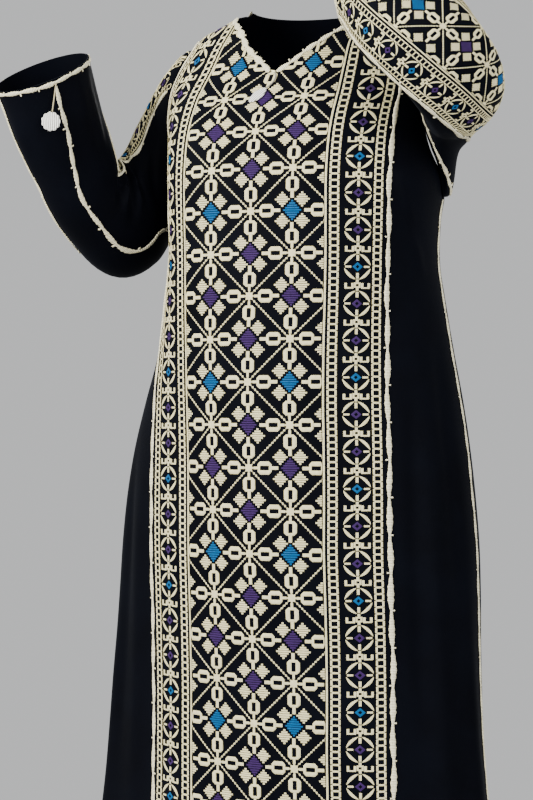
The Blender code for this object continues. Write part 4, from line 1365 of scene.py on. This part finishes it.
def make_sleeve_braids(sleeve, braid):
    """Braids on both edges of a sleeve's panel, under the arm, and round the cuff."""
    made = []
    end = sleeve.total - BRAID_WIDE - TRIM_END_GAP / 2
    levels = np.linspace(SLEEVE_BRAID_START, end, PATH_POINTS["sleeve"])
    lines = (
        ("front", np.full_like(levels, SLEEVE_FRONT_EDGE + SEAM / 2)),
        ("back", np.full_like(levels, SLEEVE_BACK_EDGE - SEAM / 2)),
        ("under", sleeve.girth(levels) / 2),
    )
    name, leaf = f"sleeve_{sleeve.name}_braid", LEAF_LENGTHS["sleeve"]
    for part, arcs in lines:
        node = f"{name}_{part}"
        made.append(worked_braid(node, sleeve, arcs, levels, braid, leaf, SLEEVE_BRAID_LEAF))
    half = float(sleeve.girth(sleeve.total)) / 2
    arcs = np.linspace(-half, half, PATH_POINTS["sleeve"] + 1)
    levels = np.full_like(arcs, sleeve.total - BRAID_WIDE / 2)
    node, leaf = f"{name}_cuff", LEAF_LENGTHS["cuff"]
    made.append(worked_braid(node, sleeve, arcs, levels, braid, leaf, SLEEVE_BRAID_LEAF, True))
    return made


def smooth_line(points, count):
    """Points at even steps along a smooth curve through a few places."""
    points = np.array(points, dtype=float)
    keys = np.linspace(0.0, 1.0, len(points))
    return smooth_table(np.column_stack([keys, points]), np.linspace(0.0, 1.0, count))[:, 1:]


def cord_piece(name, node, points, material):
    """A thin cord as a curve, with its charm on its end."""
    curve = bpy.data.curves.new(name, "CURVE")
    curve.dimensions = "3D"
    curve.bevel_depth = CORD_RADIUS
    curve.bevel_resolution = 2
    curve.use_fill_caps = True
    line = curve.splines.new("POLY")
    line.points.add(len(points) - 1)
    for slot, point in zip(line.points, points):
        slot.co = (*point, 1.0)
    made = add_object(name, curve)
    curve.materials.append(material)
    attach(made, "root")
    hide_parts(node)


def charm_piece(name, node, half, placed, material, narrowing=0.0, petals=0):
    """A flat worked charm with a corded rim: a leaf with narrow ends, or a crocheted disc."""
    ball = bmesh.new()
    bmesh.ops.create_uvsphere(ball, radius=1.0, **CHARM_SIDES)
    ball.transform(Matrix.Rotation(math.pi / 2, 4, "X"))
    ball.verts.index_update()
    faces = [tuple(vertex.index for vertex in face.verts) for face in ball.faces]
    x, y, z = np.array([vertex.co for vertex in ball.verts]).T
    ball.free()
    reach = np.hypot(x, z)
    rim_place, rim_width, rim_rise = CHARM_RIM
    rise = 1 + rim_rise * np.exp(-(((reach - rim_place) / rim_width) ** 2))
    edge = np.ones_like(x)
    if petals:
        rise += DISC_ROUNDS[0] * np.cos(reach * DISC_ROUNDS[1]) * reach
        edge += PETAL_DEPTH * np.cos(petals * np.arctan2(z, x)) * reach
    flat = np.column_stack([
        x * half[0] * (1 - narrowing * z * z) * edge,
        y * half[1] * rise,
        z * half[2] * edge,
    ])
    turned = np.array(placed)
    made = plain_mesh(name, flat @ turned[:3, :3].T + turned[:3, 3], faces, flat[:, [0, 2]])
    finish_piece(made, material, WORKED_ANGLE)
    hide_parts(node)
    return made


def make_neck_charm(body, white):
    """A leaf on a short cord, lying on the panel below the V."""
    points = body.at(*smooth_line(NECK_CORD, CORD_POINTS).T)
    arc, level = NECK_CHARM_PLACE
    centre = body.at(arc, level, NECK_CHARM_HALF[1] + CORD_CLEARANCE)
    normal = unit(body.look_up(body.normals, arc, level))
    upward = unit(np.array([0.0, 0.0, 1.0]) - normal * normal[2])
    across = np.cross(normal, upward)
    turned = Matrix((across, normal, upward)).transposed().to_4x4()
    lean = Matrix.Rotation(math.radians(NECK_CHARM_LEAN), 4, "Y")
    placed = Matrix.Translation(centre) @ turned @ lean
    charm = charm_piece(
        "leaf_charm", "neck_charm", NECK_CHARM_HALF, placed, white, narrowing=LEAF_NARROWING,
    )
    cord_piece("leaf_charm_cord", "neck_charm_cord", points, white)


def make_cuff_charm(sleeve, braid, white):
    """A disc on a cord, hanging from the seam at the left cuff."""
    level = sleeve.total - BRAID_WIDE / 2
    out = BRAID_LIFT + BRAID_THICK + CORD_CLEARANCE + CORD_RADIUS
    start = sleeve.at(float(sleeve.girth(level)) / 2, level, out)
    lean = math.radians(CUFF_CORD_LEAN)
    hang = np.array([-math.sin(lean), 0.0, -math.cos(lean)])
    points = start + np.linspace(0.0, CUFF_CORD_LENGTH, CORD_POINTS)[:, None] * hang
    below = CUFF_CORD_LENGTH + SEAM + CUFF_CHARM_HALF[2]
    turn = Matrix.Rotation(math.radians(CUFF_CHARM_TURN), 4, "Z")
    placed = Matrix.Translation(start + below * hang) @ turn
    charm = charm_piece(
        "disc_charm", "cuff_charm", CUFF_CHARM_HALF, placed, white, petals=DISC_PETALS,
    )
    cord_piece("disc_charm_cord", "cuff_charm_cord", points, braid)


def add_node(tree, kind, **values):
    """A shader node with its plain settings and its constant inputs."""
    node = tree.nodes.new(kind)
    for key, value in values.items():
        if hasattr(node, key) and key not in node.inputs:
            setattr(node, key, value)
        else:
            node.inputs[key].default_value = value
    return node


def wire(start, output, end, socket):
    """Join an output of one shader node to an input of another."""
    end.id_data.links.new(start.outputs[output], end.inputs[socket])


def shader_group(name, inputs, outputs):
    """A shader node group with its sockets, and the nodes at its two ends."""
    group = bpy.data.node_groups.new(name, "ShaderNodeTree")
    for sockets, way in ((inputs, "INPUT"), (outputs, "OUTPUT")):
        for socket, kind in sockets.items():
            group.interface.new_socket(socket, in_out=way, socket_type=f"NodeSocket{kind}")
    return group, add_node(group, "NodeGroupInput"), add_node(group, "NodeGroupOutput")


def strand_group():
    """Shader group: strands of thread side by side, from a plan in metres. Its first output is painted
    shade in the grooves between strands, blended with random tone; its second is their relief.
    """
    inputs = {"Plan": "Vector", "Strands": "Float", "Unevenness": "Float"}
    outputs = {"Shade": "Float", "Height": "Float"}
    group, start, end = shader_group("thread_strands", inputs, outputs)
    bands = {"wave_type": "BANDS", "bands_direction": "X"}
    wave = add_node(group, "ShaderNodeTexWave", **bands, **THREAD_WAVE)
    noise = add_node(group, "ShaderNodeTexNoise", **THREAD_FUZZ)
    blend = add_node(group, "ShaderNodeMix", data_type="FLOAT")
    wire(start, "Plan", wave, "Vector")
    wire(start, "Strands", wave, "Scale")
    wire(start, "Plan", noise, "Vector")
    # The wave's low bands are the grooves between strands, which get painted shade; the noise mixes random
    # tone in with it.
    wire(start, "Unevenness", blend, "Factor")
    wire(wave, "Fac", blend, "A")
    wire(noise, "Fac", blend, "B")
    wire(blend, "Result", end, "Shade")
    wire(wave, "Fac", end, "Height")
    return group


def crepe_group():
    """Shader group: the pebbled grain of crepe with a soft mottle, from Object coordinates."""
    outputs = {"Mottle": "Float", "Grain": "Float"}
    group, start, end = shader_group("crepe_grain", {"Place": "Vector"}, outputs)
    for output, values in (("Mottle", CREPE_MOTTLE), ("Grain", CREPE_GRAIN)):
        noise = add_node(group, "ShaderNodeTexNoise", **values)
        wire(start, "Place", noise, "Vector")
        wire(noise, "Fac", end, output)
    return group


def spread(source, output, low, high):
    """An output of a shader node, its middle values spread between two limits."""
    limits = {"To Min": low, "To Max": high}
    ranged = add_node(source.id_data, "ShaderNodeMapRange", **PATTERN_RANGE, **limits)
    wire(source, output, ranged, "Value")
    return ranged


def new_material(name):
    """A material, and its Principled shader."""
    material = bpy.data.materials.new(name)
    material.use_nodes = True
    return material, material.node_tree.nodes["Principled BSDF"]


def cloth_finish(shader, group, pattern, colours, relief, bumps, finish):
    """A material's colour from one output of its group, its relief from another, its finish."""
    tree = shader.id_data
    # For thread, this pattern is painted shade between the strands mixed with random tone; for crepe, it
    # is a random mottle.
    shade = spread(group, pattern, 0.0, 1.0)
    mix = add_node(tree, "ShaderNodeMix", data_type="RGBA")
    wire(shade, "Result", mix, "Factor")
    for socket, colour in zip("AB", colours):
        mix.inputs[socket].default_value = (*colour, 1.0)
    wire(mix, "Result", shader, "Base Color")
    bump = add_node(tree, "ShaderNodeBump", **bumps)
    wire(group, relief, bump, "Height")
    wire(bump, "Normal", shader, "Normal")
    for socket, value in finish.items():
        shader.inputs[socket].default_value = value


def crepe_material():
    """Matte black crepe with a slight blue cast."""
    material, shader = new_material("black_crepe")
    tree = material.node_tree
    place = add_node(tree, "ShaderNodeTexCoord")
    grain = add_node(tree, "ShaderNodeGroup", node_tree=crepe_group())
    wire(place, "Object", grain, "Place")
    cloth_finish(shader, grain, "Mottle", CREPE_COLOURS, "Grain", CREPE_RELIEF, CREPE_FINISH)
    wire(spread(grain, "Grain", *CREPE_ROUGHNESS), "Result", shader, "Roughness")
    return material


def thread_material(name, group):
    """Thread laid in strands, with painted shade darkening the grooves between them."""
    painted_groove_shade, light, strands, uneven = THREAD_ROWS[name]
    material, shader = new_material(f"{name}_thread")
    tree = material.node_tree
    plan = add_node(tree, "ShaderNodeUVMap", uv_map="plan")
    lines = add_node(tree, "ShaderNodeGroup", node_tree=group, Strands=strands, Unevenness=uneven)
    wire(plan, "UV", lines, "Plan")
    # The first colour is painted shade in the grooves between strands; the second is the thread's own
    # colour.
    cloth_finish(shader, lines, "Shade", (painted_groove_shade, light), "Height", THREAD_RELIEF, THREAD_FINISH)
    return material


def declare_cloth(pieces):
    """Take the recorded cut off each piece of cloth again."""
    for node, made in pieces.items():
        del made["cut"]


def main():
    """Make every piece."""
    set_camera()
    set_light()
    set_floor()
    strands = strand_group()
    crepe = crepe_material()
    threads = {name: thread_material(name, strands) for name in THREAD_ROWS}
    braid, white = threads["cream_braid"], threads["white_charm"]
    body = Body()
    sleeves = {arm[0]: make_sleeve(body, arm) for arm in ARM_ROWS}
    body.crease(BODY_CREASES)
    make_neck_charm(body, white)
    make_cuff_charm(sleeves["left"], braid, white)
    body_pieces = make_body_cloth(body, crepe)
    braids = make_body_braids(body, braid)
    trims = {
        "front_panel": embroider_front(body, threads),
        "front_side_left": [braids["side_braid_left"]],
        "front_side_right": [braids["side_braid_right"]],
        "back": [braids["neck_braid_back"]],
    }
    for part in ("panel_braid_left", "panel_braid_right", "neck_braid_left", "neck_braid_right"):
        trims["front_panel"].append(braids[part])
    declare_cloth(body_pieces)
    for name, sleeve in sleeves.items():
        sleeve.crease(SLEEVE_CREASES[name])
        pieces = make_sleeve_cloth(sleeve, crepe)
        stitches = embroider_sleeve(sleeve, threads)
        trims = {f"sleeve_{name}_outer": stitches + make_sleeve_braids(sleeve, braid)}
        declare_cloth(pieces)


main()
